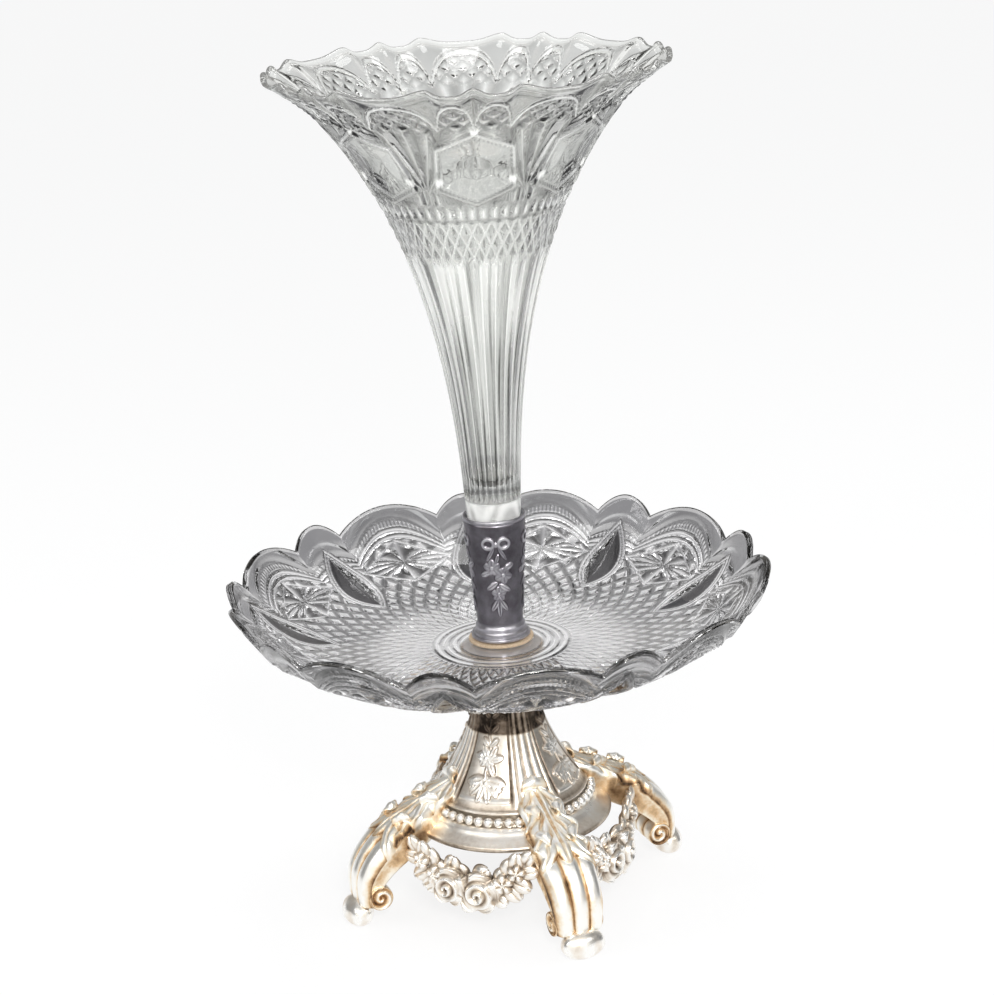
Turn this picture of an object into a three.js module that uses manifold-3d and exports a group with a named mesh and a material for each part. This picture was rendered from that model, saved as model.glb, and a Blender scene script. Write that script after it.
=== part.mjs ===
// Table centrepiece: a pressed-glass dish and a trumpet vase on a cast, silver-plated foot.
// Sizes are in millimetres, angles in degrees, and +Z is up.
// The origin is on the axis of the stem, on the table that the four feet stand on.

import * as THREE from "three";
import { mergeVertices } from "three/addons/utils/BufferGeometryUtils.js";
import Module from "manifold-3d";

const wasm = await Module();
wasm.setup();

// Clearances between pieces that touch or fit
const seatGap = 0.3;
const boreClearance = 0.35;
const glassClearance = 0.4;
const mouthClearance = 0.8;

// Legs and feet
const legCount = 4;
const firstLegAngle = 45;
const footReach = 76;
const padWidth = 20;
const padDepth = 13.4;
const padHeight = 11.5;
const padFlatShare = 0.45;
const padStartTurn = -66;
const padToeRise = 0.35;
const ankleHeight = 10;
const legWidth = 24;
const legRootWidth = 12;
const legCrown = 0.2;
const reedDepth = 0.13;
const scrollRadius = 5.5;
const scrollInset = 7;
const scrollRise = 4.5;
const scrollEyeRadius = 2.6;
const scrollEyeRise = 0.9;
const legBellyShare = 0.72;

// Bell, the hollow middle of the foot
const lipHeight = 37.5;
const skirtRadius = 45;
const skirtRise = 8.3;
const skirtLipRoll = 0.6;
const skirtLipRise = 2.4;
const shoulderRadius = 37.2;
const bellWall = 2;
const beadRadius = 1.9;
const beadRingRadius = 36.3;
const beadLedge = 4.6;
const beadsPerPanel = 9;
const beadPitch = 4.6;
const beadNeckShare = 0.45;
const bellRise = 65;
const neckRadius = 13.5;
const crownThickness = 3.5;
const cornerReeds = 3;
const cornerReedSpan = 10;
const cornerReedRise = 0.9;
const reedFade = 4;

// Swags of roses between the legs
const swagPlane = 46;
const swagReach = 30;
const swagEndHeight = 41;
const swagSag = 21;
const swagThickness = 3.4;
const roseRadius = 7.2;
const roseDepth = 4;
const roseShoulderShare = 0.82;
const roseCrownShare = 0.4;
const roseMiddle = -2.6;
const roseSpacing = 12;
const roseLift = 1.2;
const roseLead = 2;
const leafDepth = 3;
const roseLeafHalf = 5;
const roseLeafRise = 1.7;
const endLeafReach = 18;
const endLeafHalf = 5.8;
const endLeafSlimness = 1.25;
const tipLeafReach = 22.8;
const tipLeafHalf = 3.5;
const tipLeafSlimness = 1.7;

// Fastening through the middle
const rodRadius = 3;
const rodBelowCrown = 9;
const nutAcrossCorners = 11.5;
const nutHeight = 5;
const rodWasherRadius = 9;
const rodWasherThickness = 1.2;
const rodAboveFlange = 8.3;

// Seat of the dish and soft washers
const seatRadius = 19;
const seatRise = 9.2;
const seatLipHeight = 1.6;
const softThickness = 1.5;
const seatWasherRadius = 17.5;
const socketWasherRadius = 15;

// Glass dish
const dishRadius = 120;
const dishRise = 36.5;
const dishCurl = 5.2;
const dishFloorGlass = 6.5;
const dishRimGlass = 4.4;
const dishUnits = 9;
const bigScallopSpan = 26;
const firstBigScallop = 61.3;
const scallopBite = 3.8;
const scallopDrop = 8;
const scallopBand = 26;
const dishRowSpread = 0.7;
const nailFieldStart = 31;
const nailFieldEnd = 84;
const nailRings = 7;
const nailDepth = 1.3;
const ovalMiddle = 92;
const ovalHalfLength = 19.5;
const ovalHalfWidth = 9.2;
const ovalDepth = 3;
const starMiddle = 98.5;
const starHalfLength = 11.5;
const starHalfWidth = 22.5;
const starDepth = 1.6;

// Socket of the vase
const socketRise = 56.3;
const socketMouthRadius = 13.8;
const socketWaistRadius = 10.1;
const socketFlangeRadius = 13;
const socketFlangeThickness = 1.6;
const socketFootRise = 7;
const socketNeckShare = 0.25;
const socketFlare = 1.35;
const socketWall = 1.1;
const socketFloorRise = 13.3;
const bushWall = 3;
const bushRise = 8;

// Glass vase
const vaseAboveMouth = 196;
const vaseRimRadius = 84.7;
const vaseRimGlass = 3;
const vaseBoreGlass = 3.6;
const vaseBoreStart = 17;
const vaseFootChamfer = 1.2;
const fluteCount = 28;
const flutePoints = 2;
const fluteStart = 9;
const fluteEnd = 114;
const fluteFade = 8;
const fluteDepth = 0.9;
const diamondEnd = 137;
const diamondDepth = 1;
const lensMiddle = 159;
const lensHalfWidth = 16.5;
const lensHalfHeight = 15;
const lensDepth = 1.6;
const vaseTaperShare = 0.12;
const vaseLipShare = 0.14;
const vaseFlarePower = 2.6;
const vaseLipPower = 10;
const vaseUnits = 7;
const firstWideArch = 115.6;
const archRise = 2.8;
const archBand = 22;
const archDepth = 1;

// Heights, stacked from the table up
const neckTop = lipHeight + bellRise;
const crownUnderside = neckTop - crownThickness;
const rodWasherTop = crownUnderside - seatGap;
const nutTop = rodWasherTop - rodWasherThickness - seatGap;
const seatBottom = neckTop + seatGap;
const seatTop = seatBottom + seatRise;
const seatWasherBottom = seatTop + seatGap;
const dishBottom = seatWasherBottom + softThickness + seatGap;
const dishFloor = dishBottom + dishFloorGlass;
const socketWasherBottom = dishFloor + seatGap;
const socketBottom = socketWasherBottom + softThickness + seatGap;
const socketTop = socketBottom + socketRise;
const socketFloor = socketBottom + socketFloorRise;
const vasePadBottom = socketFloor + seatGap;
const vaseBottom = vasePadBottom + softThickness + seatGap;
const rodTop = socketBottom + rodAboveFlange;
const rodBottom = crownUnderside - rodBelowCrown;

// Radii that follow from a fit
const boreRadius = rodRadius + boreClearance;
const beadSeatRadius = beadRingRadius - beadRadius - seatGap;
const bushRadius = boreRadius + bushWall;
const bushPocketRadius = bushRadius + seatGap;
const legPitch = 360 / legCount;
const stubRadius = socketMouthRadius - socketWall - mouthClearance;

const roundSteps = 20;
const scrollSteps = 10;
const padSteps = 10;
const socketSteps = 24;
const { degToRad, smoothstep, lerp } = THREE.MathUtils;

const silver = { color: 0xd9cdb4, roughness: 0.32, metalness: 1 };
const pewter = { color: 0x6d6a72, roughness: 0.38, metalness: 1 };
const steel = { color: 0xa8a9ac, roughness: 0.35, metalness: 1 };
const brass = { color: 0xc2a05a, roughness: 0.35, metalness: 1 };
const cork = { color: 0xb48a5a, roughness: 0.9, metalness: 0 };
const felt = { color: 0x4d4a45, roughness: 0.95, metalness: 0 };
const dishGlass = { color: 0xd8d6de, roughness: 0.06, metalness: 0 };
const vaseGlass = { color: 0xd6ddd5, roughness: 0.06, metalness: 0 };

const centrepiece = new THREE.Group();

function addPiece(name, geometry, finish) {
  const piece = new THREE.Mesh(geometry, new THREE.MeshStandardMaterial(finish));
  piece.name = name;
  centrepiece.add(piece);
  return piece;
}

// Skin over a row of rings with equal counts of points.
// A closed row joins its last ring to its first, and an open one gets a fan at each end.
function skin(rings, closed = false) {
  const count = rings[0].length;
  const points = rings.flat();
  const faces = [];
  const lastRow = closed ? rings.length : rings.length - 1;
  for (let row = 0; row < lastRow; row += 1) {
    const here = row * count;
    const next = ((row + 1) % rings.length) * count;
    for (let i = 0; i < count; i += 1) {
      const j = (i + 1) % count;
      faces.push(here + i, here + j, next + j, here + i, next + j, next + i);
    }
  }
  if (!closed) {
    const start = points.push(middleOf(rings[0])) - 1;
    const end = points.push(middleOf(rings[rings.length - 1])) - 1;
    const lastRing = (rings.length - 1) * count;
    for (let i = 0; i < count; i += 1) {
      const j = (i + 1) % count;
      faces.push(start, j, i, end, lastRing + i, lastRing + j);
    }
  }
  const geometry = new THREE.BufferGeometry().setFromPoints(points);
  geometry.setIndex(faces);
  geometry.computeVertexNormals();
  return geometry;
}

function middleOf(ring) {
  const sum = new THREE.Vector3();
  ring.forEach((point) => sum.add(point));
  return sum.divideScalar(ring.length);
}

// A body turned about Z whose outline may change with the angle, as on a fluted or scalloped form
function turnedForm(profile, angles, shape, closed = false) {
  const rings = profile.map(([reach, height], row) =>
    angles.map((angle, column) => {
      const [r, z] = shape(reach, height, angle, row, column);
      return new THREE.Vector3(r * Math.cos(degToRad(angle)), r * Math.sin(degToRad(angle)), z);
    }),
  );
  return skin(rings, closed);
}

// The angle from the nearest of a row of axes that repeats after the given unit
function fromAxis(angle, axis, unit) {
  return angle - axis - unit * Math.round((angle - axis) / unit);
}

// Angles round the circle from a pattern of [span, steps] that repeats
function ringAngles(start, pattern, repeats) {
  const angles = [];
  let angle = start;
  for (let n = 0; n < repeats; n += 1) {
    pattern.forEach(([span, steps]) => {
      for (let i = 0; i < steps; i += 1) {
        angles.push(angle + (span * i) / steps);
      }
      angle += span;
    });
  }
  return angles;
}

// Values in even steps from one to another, both included
function evenly(from, to, steps) {
  return Array.from({ length: steps + 1 }, (unused, i) => lerp(from, to, i / steps));
}

// A plain round body turned about Z
function turned(profile, steps = roundSteps) {
  const outline = profile.map(([reach, height]) => new THREE.Vector2(reach, height));
  return new THREE.LatheGeometry(outline, steps).rotateX(Math.PI / 2);
}

function ringProfile(inner, outer, bottom, top) {
  return [[inner, bottom], [outer, bottom], [outer, top], [inner, top], [inner, bottom]];
}

function discProfile(radius, bottom, top) {
  return [[0, bottom], [radius, bottom], [radius, top], [0, top]];
}

function toSolid(geometry) {
  const bare = geometry.clone();
  bare.deleteAttribute("normal");
  bare.deleteAttribute("uv");
  const merged = mergeVertices(bare);
  const index = merged.index.array;
  const triangles = [];
  for (let i = 0; i < index.length; i += 3) {
    const [a, b, c] = [index[i], index[i + 1], index[i + 2]];
    if (a !== b && b !== c && c !== a) {
      triangles.push(a, b, c);
    }
  }
  const vertProperties = new Float32Array(merged.attributes.position.array);
  const triVerts = new Uint32Array(triangles);
  return new wasm.Manifold(new wasm.Mesh({ numProp: 3, vertProperties, triVerts }));
}

function fromSolid(solid) {
  const mesh = solid.getMesh();
  const geometry = new THREE.BufferGeometry();
  geometry.setAttribute("position", new THREE.BufferAttribute(mesh.vertProperties, 3));
  geometry.setIndex(new THREE.BufferAttribute(mesh.triVerts, 1));
  geometry.computeVertexNormals();
  return geometry;
}

function joined(geometries) {
  return geometries.map(toSolid).reduce((whole, piece) => whole.add(piece));
}

function legAngle(n) {
  return firstLegAngle + n * legPitch;
}

function panelAngle(n) {
  return legAngle(n) + legPitch / 2;
}

// Bell

// Reeds run up the bell at each leg, and die out into the plain skirt
function cornerReed(angle) {
  const fromLeg = ((angle - firstLegAngle) % legPitch + legPitch) % legPitch;
  const side = fromLeg > legPitch / 2 ? fromLeg - legPitch : fromLeg;
  const place = side / cornerReedSpan + cornerReeds / 2;
  if (place <= 0 || place >= cornerReeds) {
    return 0;
  }
  const across = 2 * (place % 1) - 1;
  return 1 - across * across;
}

function bellAngles() {
  const reeds = Array.from({ length: cornerReeds }, () => [cornerReedSpan, 2]);
  const reedsSpan = cornerReeds * cornerReedSpan;
  const start = firstLegAngle - reedsSpan / 2;
  return ringAngles(start, [...reeds, [legPitch - reedsSpan, 4]], legCount);
}

const ledgeHeight = lipHeight + skirtRise;
const flankFoot = ledgeHeight + beadLedge + 1;

// Outside of the bell from its lip up to its crown, grown outwards by the given amount
function bellOutside(grow = 0) {
  const flank = new THREE.QuadraticBezierCurve(
    new THREE.Vector2(beadSeatRadius, flankFoot),
    new THREE.Vector2(neckRadius, (flankFoot + neckTop) / 2),
    new THREE.Vector2(neckRadius, neckTop),
  );
  const skirt = new THREE.QuadraticBezierCurve(
    new THREE.Vector2(skirtRadius - skirtLipRoll, lipHeight + skirtLipRise),
    new THREE.Vector2(shoulderRadius + skirtLipRoll, lipHeight + skirtRise / 2),
    new THREE.Vector2(shoulderRadius, ledgeHeight),
  );
  return [
    [skirtRadius - skirtLipRoll, lipHeight - grow],
    [skirtRadius + grow, lipHeight + skirtLipRise / 2],
    ...skirt.getPoints(2).map((p) => [p.x + grow, p.y + grow]),
    [beadSeatRadius + grow, ledgeHeight + grow],
    ...flank.getPoints(4).map((p) => [p.x + grow, p.y]),
  ];
}

function bellShape(reach, height, angle) {
  const onFlank = reach > boreRadius ? smoothstep(height, flankFoot, flankFoot + reedFade) : 0;
  return [reach + cornerReedRise * onFlank * cornerReed(angle), height];
}

function bell() {
  const inside = new THREE.QuadraticBezierCurve(
    new THREE.Vector2(neckRadius - bellWall, crownUnderside),
    new THREE.Vector2(neckRadius - bellWall, (flankFoot + neckTop) / 2),
    new THREE.Vector2(beadSeatRadius - bellWall, flankFoot - 1),
  );
  const outside = bellOutside();
  const profile = [
    ...outside,
    [boreRadius, neckTop],
    [boreRadius, crownUnderside],
    ...inside.getPoints(3).map((p) => [p.x, p.y]),
    [beadSeatRadius - bellWall, ledgeHeight - bellWall],
    [skirtRadius - bellWall - skirtLipRoll, lipHeight + skirtLipRise],
    [skirtRadius - bellWall, lipHeight],
  ];
  const lastOutside = outside.length - 1;
  const rows = profile.map(([reach, height], row) => [reach, height, row <= lastOutside]);
  const rings = rows.map(([reach, height, outer]) =>
    bellAngles().map((angle) => {
      const [r, z] = outer ? bellShape(reach, height, angle) : [reach, height];
      return new THREE.Vector3(r * Math.cos(degToRad(angle)), r * Math.sin(degToRad(angle)), z);
    }),
  );
  return skin(rings, true);
}

// The bell without its hollow, grown by the seat gap, which trims what is soldered to it
function bellTrimmer() {
  return toSolid(turnedForm(bellOutside(seatGap), bellAngles(), bellShape));
}

// Legs

// A point in the plane of a leg: 0,0 is under the skirt at ankle height, 1,1 is over the foot at lip height
function legPoint(across, up) {
  const reach = skirtRadius + across * (footReach - skirtRadius);
  return new THREE.Vector2(reach, ankleHeight + up * (lipHeight - ankleHeight));
}

const legBack = new THREE.SplineCurve([
  legPoint(-0.8, 1.93),
  legPoint(-0.03, 1.56),
  legPoint(0.61, 1.18),
  legPoint(1.02, 0.62),
  legPoint(1.06, 0),
]);

const legBelly = new THREE.SplineCurve([
  legPoint(-0.8, 1.45),
  legPoint(-0.15, 0.99),
  legPoint(0.4, 0.62),
  legPoint(0.71, 0.28),
  legPoint(0.8, 0),
]);

function legSection(along, grow) {
  const back = legBack.getPoint(along);
  const belly = legBelly.getPoint(along);
  const up = back.clone().sub(belly);
  const depth = up.length();
  up.normalize();
  const half = lerp(legRootWidth, legWidth, smoothstep(along, 0.1, 0.5)) / 2 + grow;
  const reeds = 3;
  const steps = 9;
  const outline = [];
  const place = (side, height) => {
    const spot = belly.clone().addScaledVector(up, height);
    outline.push(new THREE.Vector3(spot.x, side, spot.y));
  };
  for (let i = 0; i <= steps; i += 1) {
    const side = 1 - (2 * i) / steps;
    const across = 2 * (((reeds * i) / steps) % 1) - 1;
    const fall = legCrown * side * side + reedDepth * across * across;
    place(half * side, depth * (1 - fall) + grow);
  }
  place(-half * legBellyShare, -grow);
  place(half * legBellyShare, -grow);
  return outline;
}

function scroll(grow) {
  const half = (legWidth - scrollEyeRise) / 2 + grow;
  const radius = scrollRadius + grow;
  const eyeEdge = scrollEyeRadius + scrollEyeRise;
  const roll = turned([
    [0, -half - scrollEyeRise],
    [scrollEyeRadius, -half - scrollEyeRise],
    [eyeEdge, -half],
    [radius, -half],
    [radius, half],
    [eyeEdge, half],
    [scrollEyeRadius, half + scrollEyeRise],
    [0, half + scrollEyeRise],
  ], scrollSteps);
  roll.rotateX(Math.PI / 2);
  return roll.translate(footReach - scrollInset, 0, ankleHeight + scrollRise);
}

function legBlank(grow = 0) {
  const stations = 7;
  const rings = [];
  for (let i = 0; i <= stations; i += 1) {
    rings.push(legSection(i / stations, grow));
  }
  return joined([skin(rings), scroll(grow)]);
}

function turnedTo(solid, angle) {
  return solid.rotate([0, 0, angle]);
}

// Foot pad: a flattened ball, cut flat where it stands
function padBlank() {
  const half = padWidth / 2;
  const start = Math.sin(degToRad(padStartTurn));
  const side = evenly(padStartTurn, 90, 5).map((angle) => {
    const turn = degToRad(angle);
    const lift = (Math.sin(turn) - start) / (1 - start);
    return [half * Math.max(0, Math.cos(turn)), Math.max(padToeRise, padHeight * lift)];
  });
  side[side.length - 1][0] = 0;
  const ball = turned([[0, 0], [half * padFlatShare, 0], ...side], padSteps);
  ball.scale(padDepth / padWidth, 1, 1);
  return toSolid(ball.translate(footReach, 0, 0));
}

// Beading: one strip of beads between each pair of legs
function beadStrip() {
  const stepsPerBead = 2;
  const sides = 5;
  const pitch = (beadPitch / beadRingRadius) * (180 / Math.PI);
  const sections = beadsPerPanel * stepsPerBead;
  const rings = [];
  for (let i = 0; i <= sections; i += 1) {
    const turn = degToRad((i / stepsPerBead - beadsPerPanel / 2) * pitch);
    const inBead = i % stepsPerBead === 0 ? beadNeckShare : 1;
    const middle = new THREE.Vector3(Math.cos(turn), Math.sin(turn), 0).multiplyScalar(beadRingRadius);
    const outward = middle.clone().normalize();
    middle.z = ledgeHeight + seatGap + beadRadius;
    const ring = [];
    for (let k = 0; k < sides; k += 1) {
      const round = (2 * Math.PI * (k + 0.5)) / sides;
      const spot = middle.clone().addScaledVector(outward, beadRadius * inBead * Math.sin(round));
      spot.z += beadRadius * inBead * Math.cos(round);
      ring.push(spot);
    }
    rings.push(ring);
  }
  return toSolid(skin(rings));
}

// Swag: a hanging branch with two roses side by side, leaves over them and a leafy end at each leg
function swagHeight(side) {
  const share = side / swagReach;
  return swagEndHeight - swagSag * (1 - share * share);
}

function swagBranch() {
  const points = [];
  const steps = 5;
  for (let i = 0; i <= steps; i += 1) {
    const side = lerp(-swagReach, swagReach, i / steps);
    points.push(new THREE.Vector3(swagPlane, side, swagHeight(side)));
  }
  const section = new THREE.Shape();
  section.absarc(0, 0, swagThickness, 0, 2 * Math.PI);
  return new THREE.ExtrudeGeometry(section, {
    extrudePath: new THREE.CatmullRomCurve3(points),
    steps,
    curveSegments: 3,
    bevelEnabled: false,
  });
}

function rose(side) {
  const bloom = turned([
    [0, -roseDepth],
    [roseRadius, 0],
    [roseRadius * roseShoulderShare, roseDepth / 2],
    [roseRadius * roseCrownShare, roseDepth],
    [0, roseDepth],
  ], 8);
  bloom.rotateY(Math.PI / 2);
  return bloom.translate(swagPlane + roseLead, side, swagHeight(side) + roseLift);
}

// A rounded leaf, at a height above the branch
function swagLeaf(side, lift, halfWidth, halfHeight) {
  const blade = new THREE.SphereGeometry(1, 6, 3);
  blade.rotateX(Math.PI / 2);
  blade.scale(leafDepth, halfWidth, halfHeight);
  return blade.translate(swagPlane, side, swagHeight(side) + lift);
}

function swagBlank() {
  const roses = [-1, 1].map((way) => roseMiddle + (way * roseSpacing) / 2);
  const lift = roseRadius + roseLeafRise;
  const overRoses = roses.map((side) => swagLeaf(side + roseLeafRise, lift, roseLeafHalf, roseLeafHalf));
  const atEnds = [-1, 1].flatMap((way) => [
    swagLeaf(way * endLeafReach, 1, endLeafHalf, endLeafHalf * endLeafSlimness),
    swagLeaf(way * tipLeafReach, tipLeafHalf, tipLeafHalf, tipLeafHalf * tipLeafSlimness),
  ]);
  return joined([swagBranch(), ...roses.map(rose), ...overRoses, ...atEnds]);
}

function addFoot() {
  addPiece("bell", bell(), silver);
  const bellBody = bellTrimmer();
  const leg = legBlank();
  const legKeepOut = legBlank(seatGap);
  const strip = beadStrip();
  const pad = padBlank().subtract(legKeepOut);
  const swag = swagBlank();
  for (let n = 0; n < legCount; n += 1) {
    const here = turnedTo(legKeepOut, legAngle(n));
    const next = turnedTo(legKeepOut, legAngle(n + 1));
    addPiece(`leg_${n + 1}`, fromSolid(turnedTo(leg, legAngle(n)).subtract(bellBody)), silver);
    addPiece(`foot_pad_${n + 1}`, fromSolid(turnedTo(pad, legAngle(n))), silver);
    const beads = turnedTo(strip, panelAngle(n)).subtract(here).subtract(next);
    addPiece(`bead_strip_${n + 1}`, fromSolid(beads), silver);
    const garland = turnedTo(swag, panelAngle(n)).subtract(here).subtract(next).subtract(bellBody);
    addPiece(`swag_${n + 1}`, fromSolid(garland), silver);
  }
}

// Fastening and seat

function addFastening() {
  addPiece("tie_rod", turned(discProfile(rodRadius, rodBottom, rodTop)), steel);

  const hexagon = new THREE.Shape();
  for (let i = 0; i < 6; i += 1) {
    const turn = (i * Math.PI) / 3;
    const corner = [(nutAcrossCorners / 2) * Math.cos(turn), (nutAcrossCorners / 2) * Math.sin(turn)];
    if (i === 0) {
      hexagon.moveTo(...corner);
    } else {
      hexagon.lineTo(...corner);
    }
  }
  const bore = new THREE.Path().absarc(0, 0, boreRadius, 0, 2 * Math.PI, true);
  hexagon.holes.push(bore);
  const nut = new THREE.ExtrudeGeometry(hexagon, {
    depth: nutHeight,
    bevelEnabled: false,
    curveSegments: 12,
  });
  addPiece("rod_nut", nut, brass).position.z = nutTop - nutHeight;

  const washerBottom = rodWasherTop - rodWasherThickness;
  const washer = ringProfile(boreRadius, rodWasherRadius, washerBottom, rodWasherTop);
  addPiece("rod_washer", turned(washer), steel);
}

function addSeat() {
  const flare = new THREE.QuadraticBezierCurve(
    new THREE.Vector2(neckRadius, seatBottom),
    new THREE.Vector2(neckRadius, seatTop - seatLipHeight),
    new THREE.Vector2(seatRadius, seatTop - seatLipHeight),
  );
  const outline = [
    [boreRadius, seatBottom],
    ...flare.getPoints(4).map((p) => [p.x, p.y]),
    [seatRadius, seatTop],
    [boreRadius, seatTop],
    [boreRadius, seatBottom],
  ];
  addPiece("bowl_seat", turned(outline), silver);
  const washerTop = seatWasherBottom + softThickness;
  const washer = ringProfile(boreRadius, seatWasherRadius, seatWasherBottom, washerTop);
  addPiece("seat_washer", turned(washer), cork);
}

// Dish

// How full a scallop is at an angle: 1 at its crest, 0 in the notch beside it
function scallop(angle) {
  const unit = 360 / dishUnits;
  const fromBig = (((angle - firstBigScallop + bigScallopSpan / 2) % unit) + unit) % unit;
  const inBig = fromBig < bigScallopSpan;
  const span = inBig ? bigScallopSpan : unit - bigScallopSpan;
  const place = inBig ? fromBig : fromBig - bigScallopSpan;
  const across = (2 * place) / span - 1;
  return 1 - across * across;
}

function dishUnderside(reach) {
  return dishBottom + dishRise * (reach / dishRadius) ** dishCurl;
}

function dishSlope(reach) {
  return Math.atan((dishRise * dishCurl * (reach / dishRadius) ** (dishCurl - 1)) / dishRadius);
}

function dishPoint(reach, glass) {
  const slope = dishSlope(reach);
  return [reach - glass * Math.sin(slope), dishUnderside(reach) + glass * Math.cos(slope)];
}

// How deep the pressed pattern goes into the underside: a pointed oval below each small scallop,
// a star below each big one, and a field of hobnails inside them
function dishCut(reach, angle, row, column) {
  const unit = 360 / dishUnits;
  const fromStar = reach * degToRad(fromAxis(angle, firstBigScallop, unit));
  const fromOval = reach * degToRad(fromAxis(angle, firstBigScallop + unit / 2, unit));
  const ovalAlong = (reach - ovalMiddle) / ovalHalfLength;
  const oval = 1 - ovalAlong * ovalAlong - Math.abs(fromOval) / ovalHalfWidth;
  const star = 1 - Math.abs(reach - starMiddle) / starHalfLength - Math.abs(fromStar) / starHalfWidth;
  const inField = reach >= nailFieldStart && reach <= nailFieldEnd;
  const nail = inField && (row + column) % 2 === 1 ? nailDepth : 0;
  return Math.max(nail, ovalDepth * oval, starDepth * star, 0);
}

function dishGlassAt(reach) {
  const share = Math.max(0, (reach - nailFieldStart) / (dishRadius - nailFieldStart));
  return lerp(dishFloorGlass, dishRimGlass, share);
}

function dish() {
  const bore = boreRadius + glassClearance;
  const spread = nailFieldEnd / nailFieldStart;
  const field = evenly(0, 1, nailRings - 1).map((share) => nailFieldStart * spread ** share);
  const patterned = [...field, ...evenly(ovalMiddle, dishRadius, 4)];
  const plain = evenly(1, 0, 5).map((share) => lerp(nailFieldStart, dishRadius, share ** dishRowSpread));
  const profile = [
    [bore, dishBottom, true],
    ...patterned.map((reach) => [reach, dishUnderside(reach), true]),
    ...plain.map((reach) => [...dishPoint(reach, dishGlassAt(reach)), false]),
    [bore, dishFloor, false],
  ];
  const unit = 360 / dishUnits;
  const start = firstBigScallop - bigScallopSpan / 2;
  const angles = ringAngles(start, [[bigScallopSpan, 6], [unit - bigScallopSpan, 2]], dishUnits);
  const shape = (reach, height, angle, row, column) => {
    const cut = profile[row][2] ? dishCut(reach, angle, row, column) : 0;
    const slope = dishSlope(reach);
    const edge = smoothstep(reach, dishRadius - scallopBand, dishRadius) * (1 - scallop(angle));
    return [
      reach - cut * Math.sin(slope) - scallopBite * edge,
      height + cut * Math.cos(slope) - scallopDrop * edge,
    ];
  };
  return turnedForm(profile, angles, shape, true);
}

function addDish() {
  addPiece("dish", dish(), dishGlass);
  const washerTop = socketWasherBottom + softThickness;
  const profile = ringProfile(boreRadius, socketWasherRadius, socketWasherBottom, washerTop);
  addPiece("socket_washer", turned(profile), cork);
}

// Socket

function socketOutside(height) {
  const start = socketBottom + socketFootRise;
  const share = Math.max(0, (height - start) / (socketTop - start));
  return lerp(socketWaistRadius, socketMouthRadius, share ** socketFlare);
}

function socketInside(height) {
  return socketOutside(height) - socketWall;
}

function addSocket() {
  const wallStart = socketBottom + socketFootRise;
  const pocketTop = socketBottom + seatGap + bushRise + seatGap;
  const outside = evenly(wallStart, socketTop, 5).map((z) => [socketOutside(z), z]);
  const inside = evenly(socketTop, socketFloor, 4).map((z) => [socketInside(z), z]);
  const profile = [
    [0, pocketTop],
    [bushPocketRadius, pocketTop],
    [bushPocketRadius, socketBottom],
    [socketFlangeRadius, socketBottom],
    [socketFlangeRadius, socketBottom + socketFlangeThickness],
    [lerp(socketWaistRadius, socketFlangeRadius, socketNeckShare), (socketBottom + wallStart) / 2],
    ...outside,
    ...inside,
    [0, socketFloor],
  ];
  addPiece("socket", turned(profile, socketSteps), pewter);
  const bushBottom = socketBottom + seatGap;
  const bush = ringProfile(boreRadius, bushRadius, bushBottom, bushBottom + bushRise);
  addPiece("thread_bush", turned(bush), brass);
  const padRadius = socketInside(socketFloor) - seatGap;
  const pad = discProfile(padRadius, vasePadBottom, vasePadBottom + softThickness);
  addPiece("vase_pad", turned(pad), felt);
}

// Vase

// Reach of the trumpet above the socket: a slight taper, a flare and a turned-out lip
function trumpetReach(height) {
  const share = (height - socketTop) / vaseAboveMouth;
  const taper = vaseTaperShare * share;
  const lip = vaseLipShare * share ** vaseLipPower;
  const flare = (1 - vaseTaperShare - vaseLipShare) * share ** vaseFlarePower;
  return lerp(stubRadius, vaseRimRadius, taper + flare + lip);
}

function wideArchPlace(angle) {
  const unit = 360 / vaseUnits;
  const start = firstWideArch - unit / 4;
  return (((angle - start) % unit) + unit) % unit / unit;
}

// Each unit of the rim has one wide arch and then two narrow ones
function rimArch(angle) {
  const place = wideArchPlace(angle);
  const across = place < 0.5 ? 4 * place - 1 : 2 * ((4 * place) % 1) - 1;
  return 1 - across * across;
}

// How deep the pressed pattern goes into the outside: flutes, then crossed cuts, then a six-sided lens
// between each two wide arches, and a hollow in each arch
function vaseCut(above, reach, angle, row, column) {
  const arched = smoothstep(above, vaseAboveMouth - archBand, vaseAboveMouth - archBand / 2);
  const inRim = above < vaseAboveMouth ? arched * archDepth * rimArch(angle) : 0;
  if (above >= fluteEnd && above <= diamondEnd) {
    return (row + column) % 2 === 1 ? diamondDepth : 0;
  }
  if (above > diamondEnd) {
    const unit = 360 / vaseUnits;
    const across = Math.abs(reach * degToRad(fromAxis(angle, firstWideArch + unit / 2, unit))) / lensHalfWidth;
    const along = Math.abs(above - lensMiddle) / lensHalfHeight;
    return Math.max(inRim, lensDepth * Math.min(1 - across, 1 - along - across / 2));
  }
  const risen = smoothstep(above, fluteStart, fluteStart + fluteFade);
  return column % flutePoints === 0 ? 0 : fluteDepth * risen;
}

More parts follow.
